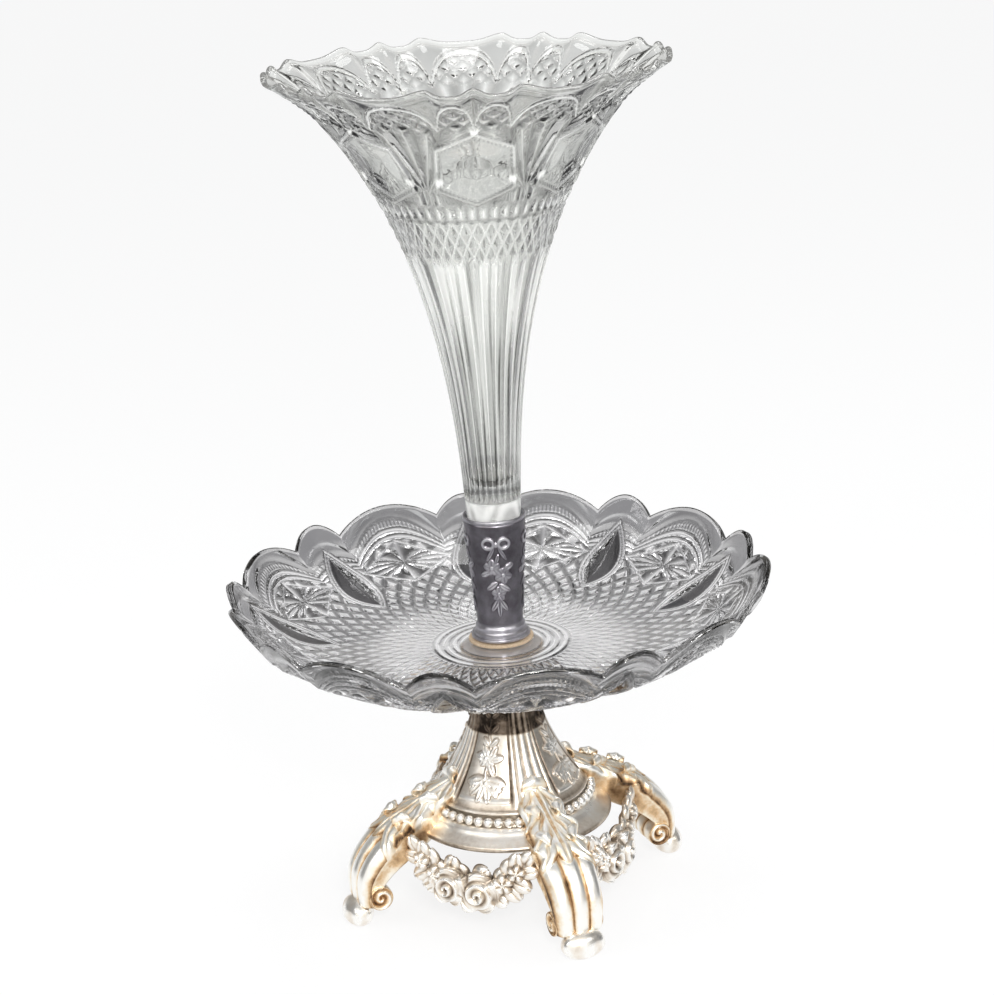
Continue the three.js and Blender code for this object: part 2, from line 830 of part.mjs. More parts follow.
function vase() {
  const stubFoot = socketInside(vaseBottom) - glassClearance;
  const outerStations = [
    0,
    fluteStart,
    ...evenly(fluteStart + fluteFade, fluteEnd - fluteFade / 2, 3),
    ...evenly(fluteEnd, diamondEnd, 2),
    ...evenly(diamondEnd, vaseAboveMouth, 6).slice(1),
  ];
  const innerStations = evenly(vaseAboveMouth, vaseBoreStart, 5).slice(1);
  const outer = [
    [stubFoot - vaseFootChamfer, vaseBottom],
    [stubFoot, vaseBottom + vaseFootChamfer],
    ...outerStations.map((z) => [trumpetReach(socketTop + z), socketTop + z]),
  ];
  const boreFloor = socketTop + vaseBoreStart;
  const profile = [
    ...outer,
    [vaseRimRadius - vaseRimGlass, socketTop + vaseAboveMouth],
    ...innerStations.map((z) => [trumpetReach(socketTop + z) - vaseBoreGlass, socketTop + z]),
    [(trumpetReach(boreFloor) - vaseBoreGlass) / 2, boreFloor - vaseBoreGlass],
  ];
  const angles = ringAngles(firstWideArch, [[360 / fluteCount, flutePoints]], fluteCount);
  const shape = (reach, height, angle, row, column) => {
    const above = height - socketTop;
    const cut = row < outer.length ? Math.max(0, vaseCut(above, reach, angle, row, column)) : 0;
    const atRim = smoothstep(above, vaseAboveMouth - archBand, vaseAboveMouth) * (1 - rimArch(angle));
    return [reach - cut, height - archRise * atRim];
  };
  return turnedForm(profile, angles, shape);
}

addFoot();
addFastening();
addSeat();
addDish();
addSocket();
addPiece("vase", vase(), vaseGlass);

export default centrepiece;
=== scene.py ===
"""Looks of the table centrepiece: pressed glass, a dark pewter socket and a cast silver-plated foot.

Points are worked out in millimetres and written in metres. +Z is up, and angles are in degrees.
Each point has a tone for its material: 0 in a recess and 1 on a crest. On the glass a low tone is painted
shade, and above 1 the glass is worn white.
"""
from functools import cached_property
from math import cos, pi, radians, sin

import bpy
import numpy as np
from mathutils import Matrix, Vector


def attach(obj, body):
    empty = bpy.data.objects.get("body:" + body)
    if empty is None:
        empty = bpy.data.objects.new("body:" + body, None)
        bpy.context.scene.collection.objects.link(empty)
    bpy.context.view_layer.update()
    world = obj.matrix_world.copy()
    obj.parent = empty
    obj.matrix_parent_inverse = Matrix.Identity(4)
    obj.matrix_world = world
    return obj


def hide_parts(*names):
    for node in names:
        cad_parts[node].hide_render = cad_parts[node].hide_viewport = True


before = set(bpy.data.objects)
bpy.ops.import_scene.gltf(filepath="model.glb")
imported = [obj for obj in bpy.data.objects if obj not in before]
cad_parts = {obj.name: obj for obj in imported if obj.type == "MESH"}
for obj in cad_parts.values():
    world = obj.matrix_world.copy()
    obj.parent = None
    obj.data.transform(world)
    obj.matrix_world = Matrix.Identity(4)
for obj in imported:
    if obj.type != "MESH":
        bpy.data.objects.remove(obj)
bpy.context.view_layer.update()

MM = 0.001

# Sizes and directions of the solids, as in the part's source
FLANK_FOOT, NECK_TOP, NECK = 51.4, 102.5, 13.5
BEAD_SEAT, BEAD_RING, BEAD_HEIGHT, BEAD_RADIUS, BEAD_PITCH = 34.1, 36.3, 48.0, 2.15, 4.6
ROD_BORE = 3.4
DISH_BOTTOM, DISH_FLOOR, DISH_RADIUS, DISH_RISE, DISH_CURL, DISH_BORE = 114.1, 120.6, 120, 36.5, 5.2, 3.75
SOCKET_BOTTOM, SOCKET_TOP, SOCKET_MOUTH = 122.7, 179.0, 13.8
VASE_BOTTOM, RIM, RIM_RADIUS, STUB_RADIUS = 138.1, 375.0, 84.7, 11.9
SCALLOP_UNIT, BIG_SCALLOP = 40, 61.3
ARCH_UNIT, WIDE_ARCH, FLUTES = 360 / 7, 115.6, 28

# Places of the ornaments
SOCKET_FRONT = 294.3
HOBNAILS, HOBNAIL_ROW, DISH_RINGS = 60, 11.5, (28.5, 20.7)
DIAMOND_ROW, BEAD_ROW, FEATHER_FOOT, LENS_ROW, LENS_HALF, KITE_ROW = 298, 318, 327, 338, 15.6, 356


# Numbers

def clamp(value, low=0, high=1):
    return np.clip(value, low, high)


def smooth(value, low, high):
    share = clamp((value - low) / (high - low))
    return share * share * (3 - 2 * share)


def lerp(a, b, share):
    return a + (b - a) * share


def wrapped(angle, unit):
    """The angle from the nearest multiple of the unit."""
    return (angle + unit / 2) % unit - unit / 2


def bump(distance, width):
    """A round ridge: 1 on its line, and 0 at its width from it."""
    return np.sqrt(clamp(1 - (distance / width) ** 2))


def tent(place):
    """0 at whole numbers and 1 half way between them."""
    return 1 - np.abs(2 * (place % 1) - 1)


def diamonds(across, along):
    """Pyramids on a diagonal net: 0 on its lines and 1 on the points."""
    return np.minimum(tent(across + along), tent(across - along))


def spun(angle):
    """The matrix of a turn about Z."""
    c, s = cos(radians(angle)), sin(radians(angle))
    return np.array([[c, -s, 0], [s, c, 0], [0, 0, 1]])


def circle(steps):
    return np.arange(steps) * 360 / steps


def column(low, high, count):
    return np.linspace(low, high, count)[:, None]


def unit_vector(vector):
    return vector / np.linalg.norm(vector)


# Meshes

def grid(rows, cols, ring=True, closed=False):
    """Four-sided faces of a grid of points. A ring joins its last column to its first."""
    r = np.arange(rows if closed else rows - 1)
    c = np.arange(cols if ring else cols - 1)
    r, c = np.meshgrid(r, c, indexing="ij")
    r_next, c_next = (r + 1) % rows, (c + 1) % cols
    corners = (r * cols + c, r * cols + c_next, r_next * cols + c_next, r_next * cols + c)
    return np.stack(corners, -1).reshape(-1, 4)


def linked(name, data):
    """An object in the scene."""
    made = bpy.data.objects.new(name, data)
    bpy.context.scene.collection.objects.link(made)
    return made


def meshed(name, points, faces, material, tones=None):
    """A mesh object, with a tone at each point for its material."""
    mesh = bpy.data.meshes.new(name)
    mesh.from_pydata(points.reshape(-1, 3).tolist(), [], faces)
    mesh.materials.append(material)
    if tones is not None:
        mesh.attributes.new("tone", "FLOAT", "POINT").data.foreach_set("value", tones.astype(np.float32))
    return linked(name, mesh)


class Clump:
    """Points, faces and tones gathered into one mesh."""

    def __init__(self):
        self.points, self.quads, self.tris, self.tones = [], [], [], []
        self.count = 0

    def add(self, points, quads, tris, tones):
        self.points.append(points)
        self.quads.append(quads + self.count)
        self.tris.append(tris + self.count)
        self.tones.append(tones)
        self.count += len(points)

    def add_rings(self, rings, tone, closed=False):
        """Rows of points round a form, with a fan at each end where it isn't closed on itself."""
        rows, cols = rings.shape[:2]
        points = rings.reshape(-1, 3)
        tones = np.broadcast_to(tone, (rows, cols)).ravel()
        tris = np.zeros((0, 3), int)
        turn = np.arange(cols)
        for row, flip in () if closed else ((0, True), (rows - 1, False)):
            here, there = turn + row * cols, (turn + 1) % cols + row * cols
            middle = np.full(cols, len(points))
            points = np.vstack([points, rings[row].mean(0)])
            tones = np.append(tones, tones[row * cols])
            tris = np.vstack([tris, np.stack([middle, there, here] if flip else [middle, here, there], -1)])
        self.add(points, grid(rows, cols, closed=closed), tris, tones)
        return self

    def add_sheet(self, surface, thickness, tone):
        """A thin closed sheet on both sides of a surface, given as rows of points."""
        rows, cols = surface.shape[:2]
        normal = np.cross(np.gradient(surface, axis=1), np.gradient(surface, axis=0))
        normal /= np.maximum(np.linalg.norm(normal, axis=-1, keepdims=True), 1e-9)
        offset = normal * thickness / 2
        points = np.concatenate([(surface + offset).reshape(-1, 3), (surface - offset).reshape(-1, 3)])
        top = grid(rows, cols, ring=False)
        below = top[:, ::-1] + rows * cols
        index = np.arange(rows * cols).reshape(rows, cols)
        rim = np.concatenate([index[0], index[1:, -1], index[-1, -2::-1], index[-2:0:-1, 0]])
        after = np.roll(rim, -1)
        wall = np.stack([after, rim, rim + rows * cols, after + rows * cols], -1)
        tones = np.broadcast_to(tone, (rows, cols)).ravel()
        faces = np.vstack([top, below, wall])
        self.add(points, faces, np.zeros((0, 3), int), np.concatenate([tones, tones * 0.8]))

    def copy_turned(self, angle):
        made = Clump()
        made.points = [points @ spun(angle).T for points in self.points]
        made.quads, made.tris, made.tones = self.quads, self.tris, self.tones
        return made

    def piece(self, name, finish, body, node, slot, sharp=None):
        points = np.vstack(self.points).astype(np.float32) * MM
        faces = np.vstack(self.quads).tolist() + np.vstack(self.tris).tolist()
        made = meshed(name, points, faces, finish, np.concatenate(self.tones))
        made.data.shade_smooth()
        if sharp is not None:
            made.data.set_sharp_from_angle(angle=radians(sharp))
        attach(made, body)
        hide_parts(node)

    def four_pieces(self, name, finish, node, first_turn):
        """A piece on each quarter of the foot."""
        for n in range(4):
            turned = self.copy_turned(first_turn + 90 * n)
            turned.piece(name.format(n + 1), finish, "foot", node.format(n + 1), "silver_plate")


def round_form(reach, height, angles):
    """Rings of a body turned about Z. Reach and height are a list, a column or a value for each angle."""
    reach, height = (value[:, None] if value.ndim == 1 else value for value in (reach, height))
    reach, height, turn = np.broadcast_arrays(reach, height, np.radians(angles))
    return np.stack([reach * np.cos(turn), reach * np.sin(turn), height], -1)


def revolved(reach, height, angles, tone, closed=True):
    """A turned body, whose outline is closed unless it says otherwise."""
    return Clump().add_rings(round_form(reach, height, angles), tone, closed)


def part(points, tone):
    """Points of an outline as a column of reach and one of height, with their tone."""
    points = np.array(points)
    return points[:, :1], points[:, 1:], tone


def joined(parts, angles):
    """Reach, height and tone for each angle, from parts that follow each other along an outline."""
    blank = 0 * angles[None, :]
    full = [np.broadcast_arrays(*values, blank)[:3] for values in parts]
    return [np.concatenate(rows) for rows in zip(*full)]


def eased(profile, rounding):
    """An outline with its corners rounded off."""
    made = []
    count = len(profile)
    profile = np.array(profile, float)
    for i, corner in enumerate(profile):
        to_before, to_after = profile[i - 1] - corner, profile[(i + 1) % count] - corner
        size = min(rounding, np.hypot(*to_before) * 0.45, np.hypot(*to_after) * 0.45)
        first, last = (corner + way / np.hypot(*way) * size for way in (to_before, to_after))
        for t in (0, 1 / 3, 2 / 3, 1):
            made.append(first * (1 - t) ** 2 + corner * 2 * t * (1 - t) + last * t * t)
    return np.array(made)


def turned_piece(name, profile, finish, body, node, slot, rounding=0.25):
    """A closed turned ring with eased edges."""
    outline = eased(profile, rounding)
    revolved(outline[:, 0], outline[:, 1], circle(96), 0.7).piece(name, finish, body, node, slot, sharp=50)


def catmull(points, shares):
    """A smooth curve through points, at shares from 0 to 1 of its length."""
    points = np.asarray(points, float)
    last = len(points) - 1
    place = clamp(shares) * last
    i = np.minimum(place.astype(int), last - 1)
    w = (place - i)[:, None]
    p0, p1, p2, p3 = (points[clamp(i + step, 0, last)] for step in (-1, 0, 1, 2))
    v0, v1 = (p2 - p0) / 2, (p3 - p1) / 2
    return (2 * p1 - 2 * p2 + v0 + v1) * w ** 3 + (-3 * p1 + 3 * p2 - 2 * v0 - v1) * w ** 2 + v0 * w + p1


# Materials

class Nodes:
    """Adds nodes to a tree. An input is a value or the socket that feeds it."""

    def __init__(self, tree):
        self.tree = tree

    def put(self, socket, value):
        if isinstance(value, bpy.types.NodeSocket):
            self.tree.links.new(value, socket)
        else:
            socket.default_value = (*value, 1) if socket.type == "RGBA" else value

    def add(self, kind, inputs=None, **settings):
        made = self.tree.nodes.new(kind)
        for key, value in settings.items():
            setattr(made, key, value)
        for key, value in (inputs or {}).items():
            self.put(made.inputs[key], value)
        return made

    def maths(self, operation, first, second, clamped=False):
        inputs = {0: first, 1: second}
        return self.add("ShaderNodeMath", inputs, operation=operation, use_clamp=clamped).outputs[0]

    def plus(self, first, second, clamped=False):
        return self.maths("ADD", first, second, clamped)

    def minus(self, first, second):
        return self.maths("SUBTRACT", first, second)

    def times(self, first, second, clamped=False):
        return self.maths("MULTIPLY", first, second, clamped)

    def swing(self, source, amount):
        """A noise as a change up and down."""
        return self.times(self.minus(source, 0.5), amount)

    def mixed(self, amount, first, second):
        """Two colours mixed, which the node takes in its inputs 6 and 7."""
        return self.add("ShaderNodeMix", {0: amount, 6: first, 7: second}, data_type="RGBA").outputs[2]

    def blended(self, share, first, second, output):
        """Two shaders mixed into an output node."""
        mix = self.add("ShaderNodeMixShader", {0: share, 1: first.outputs[0], 2: second.outputs[0]})
        self.put(self.tree.nodes[output].inputs["Surface"], mix.outputs[0])

    def ramp(self, source, stops):
        made = self.add("ShaderNodeValToRGB", {"Fac": source})
        elements = made.color_ramp.elements
        while len(elements) < len(stops):
            elements.new(0.5)
        for element, (place, colour) in zip(elements, stops):
            element.position = place
            element.color = (*colour, 1)
        return made.outputs["Color"]

    @cached_property
    def place(self):
        return self.add("ShaderNodeTexCoord").outputs["Object"]

    @cached_property
    def tone(self):
        return self.add("ShaderNodeAttribute", attribute_name="tone").outputs["Fac"]

    def noise(self, scale, detail, roughness, place=None):
        inputs = {"Vector": place or self.place, "Scale": scale, "Detail": detail, "Roughness": roughness}
        return self.add("ShaderNodeTexNoise", inputs).outputs["Fac"]

    def bumped(self, height, strength, distance):
        inputs = {"Height": height, "Strength": strength, "Distance": distance}
        return self.add("ShaderNodeBump", inputs).outputs["Normal"]

    def seen_directly(self):
        """1 for rays from the camera and in reflections and glass, 0 for light that falls on things."""
        path = self.add("ShaderNodeLightPath").outputs
        both = self.plus(path["Is Camera Ray"], path["Is Glossy Ray"])
        return self.plus(both, path["Is Transmission Ray"], clamped=True)


class Paint(Nodes):
    """A material under way."""

    def __init__(self, name):
        self.material = bpy.data.materials.new(name)
        self.material.use_nodes = True
        super().__init__(self.material.node_tree)
        self.shader = self.tree.nodes["Principled BSDF"]

    def finish(self, inputs):
        for key, value in inputs.items():
            self.put(self.shader.inputs[key], value)
        return self.material


def silver(name, stops, patchy, dull):
    """Worn silver plate: cream on the crests, tan in between and brown in the recesses."""
    paint = Paint(name)
    patches, specks = paint.noise(60, 4, 0.6), paint.noise(420, 3, 0.6)
    worn = paint.plus(paint.tone, paint.swing(patches, patchy))
    worn = paint.plus(worn, paint.swing(specks, 0.35), clamped=True)
    return paint.finish({
        "Base Color": paint.ramp(worn, stops),
        "Metallic": 0.92,
        "Roughness": paint.minus(dull, paint.times(worn, 0.24)),
        "Normal": paint.bumped(specks, 0.25, 0.0002),
    })


def pewter():
    paint = Paint("dark_pewter")
    cloud, specks = paint.noise(160, 4, 0.6), paint.noise(900, 2, 0.5)
    worn = paint.plus(paint.tone, paint.swing(cloud, 0.5), clamped=True)
    stops = [
        (0.0, (0.03, 0.027, 0.032)), (0.35, (0.15, 0.14, 0.16)), (0.7, (0.36, 0.35, 0.39)),
        (1.0, (0.78, 0.77, 0.82)),
    ]
    return paint.finish({
        "Base Color": paint.ramp(worn, stops),
        "Metallic": 1.0,
        "Roughness": paint.plus(0.22, paint.times(cloud, 0.25)),
        "Normal": paint.bumped(specks, 0.2, 0.0001),
    })


def turned_metal(name, dark, light, roughness):
    """A machined metal with fine lines round it and a few stains."""
    paint = Paint(name)
    stretch = paint.add("ShaderNodeMapping", {"Vector": paint.place, "Scale": (60, 60, 2600)})
    lines, stains = paint.noise(1, 2, 0.5, stretch.outputs["Vector"]), paint.noise(240, 4, 0.65)
    colour = paint.mixed(paint.times(stains, lines), dark, light)
    return paint.finish({
        "Base Color": paint.mixed(paint.maths("POWER", stains, 1.6), colour, light),
        "Metallic": 1.0,
        "Roughness": paint.plus(roughness, paint.times(stains, 0.25)),
        "Normal": paint.bumped(lines, 0.25, 0.0001),
    })


def cork():
    paint = Paint("cork")
    grains = paint.add("ShaderNodeTexVoronoi", {"Vector": paint.place, "Scale": 900.0}).outputs["Distance"]
    cloud = paint.noise(1400, 3, 0.6)
    spots = paint.ramp(grains, [
        (0.0, (0.30, 0.21, 0.13)), (0.35, (0.54, 0.41, 0.28)), (1.0, (0.68, 0.55, 0.40)),
    ])
    return paint.finish({
        "Base Color": paint.mixed(paint.times(cloud, 0.6), spots, (0.46, 0.34, 0.22)),
        "Roughness": 0.88,
        "Normal": paint.bumped(grains, 0.5, 0.0003),
    })


def felt():
    paint = Paint("felt")
    fibres, cloud = paint.noise(2600, 5, 0.75), paint.noise(300, 3, 0.6)
    colour = paint.mixed(fibres, (0.03, 0.028, 0.025), (0.12, 0.11, 0.1))
    return paint.finish({
        "Base Color": paint.mixed(paint.times(cloud, 0.4), colour, (0.09, 0.07, 0.06)),
        "Roughness": 0.95,
        "Sheen Weight": 0.5,
        "Normal": paint.bumped(fibres, 0.6, 0.0004),
    })


def pressed_glass(name, clear, painted_shade_colour):
    """Old pressed glass, darkened by painted shade where the tone is low and frosted by wear where it is
    above 1.
    """
    paint = Paint(name)
    cloud, ripple = paint.noise(45, 2, 0.5), paint.noise(180, 2, 0.5)
    share = paint.maths("POWER", paint.plus(paint.tone, paint.swing(cloud, 0.16), clamped=True), 2.0)
    wear = paint.times(paint.minus(paint.tone, 1.0), 3.0, clamped=True)
    return paint.finish({
        "Base Color": paint.mixed(share, painted_shade_colour, clear),
        "Transmission Weight": paint.minus(1.0, wear),
        "IOR": 1.5,
        "Roughness": 0.03,
        "Normal": paint.bumped(ripple, 0.12, 0.0006),
    })


SILVER = silver("silver_plate", [
    (0.0, (0.03, 0.022, 0.016)), (0.16, (0.22, 0.17, 0.13)), (0.38, (0.60, 0.52, 0.43)),
    (0.6, (0.87, 0.81, 0.73)), (0.85, (0.98, 0.97, 0.94)),
], 0.7, 0.48)
WORN_SILVER = silver("silver_plate_tan", [
    (0.0, (0.07, 0.045, 0.028)), (0.16, (0.30, 0.18, 0.095)), (0.38, (0.72, 0.51, 0.30)),
    (0.56, (0.92, 0.82, 0.66)), (0.8, (0.98, 0.97, 0.93)),
], 1.25, 0.56)
PEWTER = pewter()
STEEL = turned_metal("steel", (0.16, 0.16, 0.165), (0.52, 0.52, 0.53), 0.25)
BRASS = turned_metal("brass", (0.22, 0.13, 0.045), (0.68, 0.50, 0.22), 0.24)
CORK = cork()
FELT = felt()
# The second colour of each glass is its painted shade, reached where the tone is low.
DISH_GLASS = pressed_glass("dish_glass", (0.97, 0.965, 0.975), (0.004, 0.0038, 0.0045))
VASE_GLASS = pressed_glass("vase_glass", (0.98, 0.985, 0.965), (0.012, 0.012, 0.008))


# Camera, light and floor

def look():
    """The photograph's viewpoint: about 1.1 m away, 17.7 degrees down and tilted 3.5 degrees."""
    pitch, yaw, roll = radians(17.681), radians(0.1038), radians(-3.4723)
    spin = spun(24.3)
    forward = np.array([sin(yaw) * cos(pitch), cos(yaw) * cos(pitch), -sin(pitch)])
    right = unit_vector(np.cross(forward, [0, 0, 1]))
    up = np.cross(right, forward)
    right, up = cos(roll) * right + sin(roll) * up, -sin(roll) * right + cos(roll) * up
    axes = np.stack([spin @ right, spin @ up, -(spin @ forward)], -1)
    data = bpy.data.cameras.new("camera")
    data.lens, data.sensor_width = 88.04, 36
    data.clip_start, data.clip_end = 0.01, 50
    camera = linked("camera", data)
    camera.matrix_world = Matrix.Translation(spin @ [0, -1.005957, 0.506429]) @ Matrix(axes.tolist()).to_4x4()
    bpy.context.scene.camera = camera


def area_lamp(name, azimuth, elevation, distance, size, power, colour=(1, 1, 1)):
    """A soft lamp that faces the middle of the object. Azimuth 0 stands on the -Y side."""
    data = bpy.data.lights.new(name, "AREA")
    data.shape, data.size, data.energy, data.color = "DISK", size, power, colour
    lamp = linked(name, data)
    middle = np.array([0, 0, 0.16])
    back = spun(azimuth) @ [0, -cos(radians(elevation)), sin(radians(elevation))]
    lamp.location = middle + back * distance
    lamp.rotation_euler = Vector(-back).to_track_quat("-Z", "Y").to_euler()


# The rays that pass through the cards and the cloth
UNSEEN_BY = ("camera", "diffuse", "shadow")


def stage_piece(name, points, faces, material, unseen_by=(), tones=None):
    made = meshed(name, points, faces, material, tones)
    for ray in unseen_by:
        setattr(made, "visible_" + ray, False)


def lit_cloth(paint, colour):
    """Cloth with an even light of its own."""
    return paint.finish({
        "Base Color": (0, 0, 0), "Specular IOR Level": 0.0,
        "Emission Color": colour, "Emission Strength": 1.0,
    })


def set_world():
    world = bpy.data.worlds.new("studio")
    bpy.context.scene.world = world
    world.use_nodes = True
    nodes = Nodes(world.node_tree)
    light = nodes.tree.nodes["Background"]
    nodes.put(light.inputs["Color"], (0.97, 0.985, 1))
    nodes.put(light.inputs["Strength"], 0.6)
    white = nodes.add("ShaderNodeBackground", {"Color": (1, 1, 1), "Strength": 1.0})
    nodes.blended(nodes.seen_directly(), light, white, "World Output")


def add_floor():
    paint = Paint("floor_paint")
    paper = paint.finish({"Base Color": (0.96, 0.96, 0.96), "Roughness": 0.9, "Specular IOR Level": 0.0})
    glow = paint.add("ShaderNodeEmission", {"Color": (1, 1, 1), "Strength": 1.0})
    paint.blended(paint.times(paint.seen_directly(), 0.84), paint.shader, glow, "Material Output")
    reach, sunk = 9, 0.0002
    corners = np.array([(-1, -1, 0), (1, -1, 0), (1, 1, 0), (-1, 1, 0)]) * reach - [0, 0, sunk]
    stage_piece("floor", corners, [(0, 1, 2, 3)], paper)


def add_card(name, azimuth, distance, width, height, low, grey):
    """A dark cloth card beside the object, as for glass: only reflections and the glass show it."""
    half, back, high = width / 2, -distance, low + height
    corners = [(-half, back, low), (half, back, low), (half, back, high), (-half, back, high)]
    material = lit_cloth(Paint(name + "_cloth"), (grey, grey, grey))
    stage_piece(name, corners @ spun(azimuth).T, [(0, 1, 2, 3)], material, UNSEEN_BY)


def add_cloth_ring():
    """A grey cloth ring on the table round a white middle, which shows as the cards do."""
    reach = np.array([300, 360, 420, 500, 700, 1000, 2000, 4500], float)
    rings = round_form(reach, np.full(len(reach), 0.6), circle(96)) * MM
    paint = Paint("ring_cloth")
    distance = paint.add("ShaderNodeVectorMath", {0: paint.place}, operation="LENGTH").outputs["Value"]
    grey = paint.ramp(paint.maths("DIVIDE", distance, 4.5), [
        (0.070, (0.97, 0.97, 0.97)), (0.092, (0.42, 0.42, 0.43)), (0.13, (0.42, 0.42, 0.43)),
        (0.17, (0.86, 0.87, 0.87)), (0.6, (0.90, 0.91, 0.92)), (1.0, (0.97, 0.97, 0.97)),
    ])
    stage_piece("cloth_ring", rings, grid(len(reach), 96).tolist(), lit_cloth(paint, grey), UNSEEN_BY)


def add_cloth_dome():
    """Grey cloth overhead, with a bright gap at one side. Only reflections show it."""
    azimuth, height = circle(72), np.radians(column(6, 88, 14))
    rings = round_form(2200 * np.cos(height), 2200 * np.sin(height), azimuth) * MM
    bright = 1 - smooth(np.abs(wrapped(azimuth - 288, 360)), 26, 78)
    grey = lerp(lerp(0.30, 1.0, bright), 0.85, smooth(np.degrees(height), 55, 80)).ravel()
    paint = Paint("dome_cloth")
    material = lit_cloth(paint, paint.ramp(paint.tone, [(0, (0, 0, 0)), (1, (1.0, 0.965, 0.90))]))
    stage_piece("cloth_dome", rings, grid(14, 72).tolist(), material, (*UNSEEN_BY, "transmission"), grey)


look()
set_world()
add_floor()
add_cloth_ring()
add_cloth_dome()
area_lamp("key", 32, 29, 1.25, 0.3, 6.5, (1, 0.985, 0.96))
area_lamp("flash", 28, 27, 1.1, 0.05, 1.2)
area_lamp("spark_left", -14, 42, 1.2, 0.05, 0.8)
area_lamp("spark_right", 74, 36, 1.2, 0.05, 0.8)
area_lamp("fill_left", -50, 30, 1.4, 0.7, 3.5)
area_lamp("fill_right", 105, 35, 1.4, 0.7, 3.5)
area_lamp("top", 200, 72, 1.3, 0.6, 4)
add_card("card_left", -66, 0.75, 0.5, 1.3, 0.0, 0.06)
add_card("card_right", 114, 0.75, 0.5, 1.3, 0.0, 0.06)
add_card("card_back", 204, 1.6, 0.7, 0.5, 0.75, 0.08)


# Glass: each pattern is a depth of cut and a tone

def laid(pattern, mask, cut, tone):
    """A pattern with another over it where the mask is 1."""
    return lerp(pattern[0], cut, mask), lerp(pattern[1], tone, mask)


def dish_underside(reach):
    return DISH_BOTTOM + DISH_RISE * (reach / DISH_RADIUS) ** DISH_CURL


def dish_slope(reach):
    return np.arctan(DISH_RISE * DISH_CURL * (reach / DISH_RADIUS) ** (DISH_CURL - 1) / DISH_RADIUS)


def dish_point(reach, inward):
    """Reach and height at a distance from the underside, along its normal."""
    slope = dish_slope(reach)
    return reach - inward * np.sin(slope), dish_underside(reach) + inward * np.cos(slope)


def scallop(angle):
    """How full a scallop is: 1 at its crest, 0 in the notch beside it."""
    big_span = 26
    place = (angle - BIG_SCALLOP + big_span / 2) % SCALLOP_UNIT
    small_place = (place - big_span) / (SCALLOP_UNIT - big_span)
    across = np.where(place < big_span, place / big_span, small_place) * 2 - 1
    return 1 - across * across


def hobnails(reach, angle):
    along, row = HOBNAILS * angle / 360, reach / HOBNAIL_ROW
    nail = diamonds(along, row)
    wear = 0.5 + 0.5 * np.sin(1.7 * np.floor(along + row) + 2.9 * np.floor(along - row) + 0.11 * angle)
    tone = 0.28 + 0.72 * smooth(nail, 0.22, 0.6) + (0.14 + 0.34 * wear) * smooth(nail, 0.5, 0.78)
    field, central = smooth(reach, 29.6, 34), 1 - smooth(reach, 44, 66)
    tone = lerp(tone, 0.86 + 0.3 * smooth(nail, 0.15, 0.5), 0.85 * central)
    return 1.5 * (1 - nail ** 0.8) * field * (1 - 0.35 * central), lerp(1.18, tone, field)


def dish_cut(reach, angle):
    """How deep the pressed pattern goes into the underside, and the tone there: a low tone paints shade into
    the glass.
    """
    big = wrapped(angle - BIG_SCALLOP, SCALLOP_UNIT)
    x_big = reach * np.radians(big)
    x_small = reach * np.radians(wrapped(angle - BIG_SCALLOP - SCALLOP_UNIT / 2, SCALLOP_UNIT))
    pattern = hobnails(reach, angle)

    arch_crest, arch_fall, arch_half = 114.6, 7.4, 13
    above = reach - arch_crest + arch_fall * (np.minimum(np.abs(big), arch_half) / arch_half) ** 2.2
    ridges = bump(above + 2.7, 1.0) + bump(above + 5.2, 0.9)
    pattern = laid(pattern, smooth(above, -6.6, -6.0), 1.5 - 1.4 * ridges, 0.12 + 0.9 * clamp(ridges) ** 2)
    bead = tent(x_big / 1.9) * bump(above, 1.2)
    pattern = laid(pattern, smooth(above, -1.5, -1.2), 0.8 * (1 - bead), 0.35 + 0.8 * bead)
    hollow = clamp((above - 1.6) / 6)
    pattern = laid(pattern, smooth(above, 1.2, 1.7), 0.9 * np.sin(pi * hollow), 0.46 + 0.24 * hollow)

    star_middle, half_width, half_out, half_in = 98.0, 23.0, 10.0, 12.2
    y = reach - star_middle
    x_share, y_share = x_big / half_width, np.where(y > 0, y / half_out, y / half_in)
    rho = np.abs(x_share) + np.abs(y_share)
    around = np.arctan2(y_share, x_share) / (2 * pi)
    at_sides = np.abs(wrapped(around, 0.5)) < 0.125
    ray = tent(around * np.where(at_sides, 16, 8) + 0.5)
    depth = clamp(rho * 2.4) * clamp((1.04 - rho) * 4, 0.15, 1)
    pattern = laid(pattern, 1 - smooth(rho, 0.95, 1.0), 2.3 * (1 - ray) * depth, 0.10 + 0.95 * ray ** 2.5)
    pattern = laid(pattern, bump(rho - 1.03, 0.05), 0, 0.95)

    middle, half_length, half_width = 92, 19.6, 9.8
    along = (reach - middle) / half_length
    inside = np.where(np.abs(along) < 1.12, half_width * (1 - along ** 2) - np.abs(x_small), -9)
    cut, tone = laid(pattern, smooth(inside, -1.2, -0.9), 1.2, 0.2)
    borders = bump(inside - 0.3, 0.8) + bump(inside - 2.0, 0.6)
    pattern = cut * (1 - borders), lerp(tone, 0.93, clamp(borders))
    bowl = clamp((inside - 2.7) / (half_width - 2.7))
    # Painted shade: the inside of each pointed oval is dark.
    pattern = laid(pattern, smooth(inside, 2.6, 3.0), 0.4 + 2.6 * np.sqrt(bowl), 0.12 * bowl - 0.06)

    for ring in DISH_RINGS:
        ridge = 0.5 + 0.5 * np.cos(pi * clamp((reach - ring) / 2.2, -1, 1))
        near = smooth(3.2 - np.abs(reach - ring), 0, 1.2)
        pattern = laid(pattern, near, 0.35 * (1 - ridge), 0.62 + 0.46 * ridge)
    return pattern


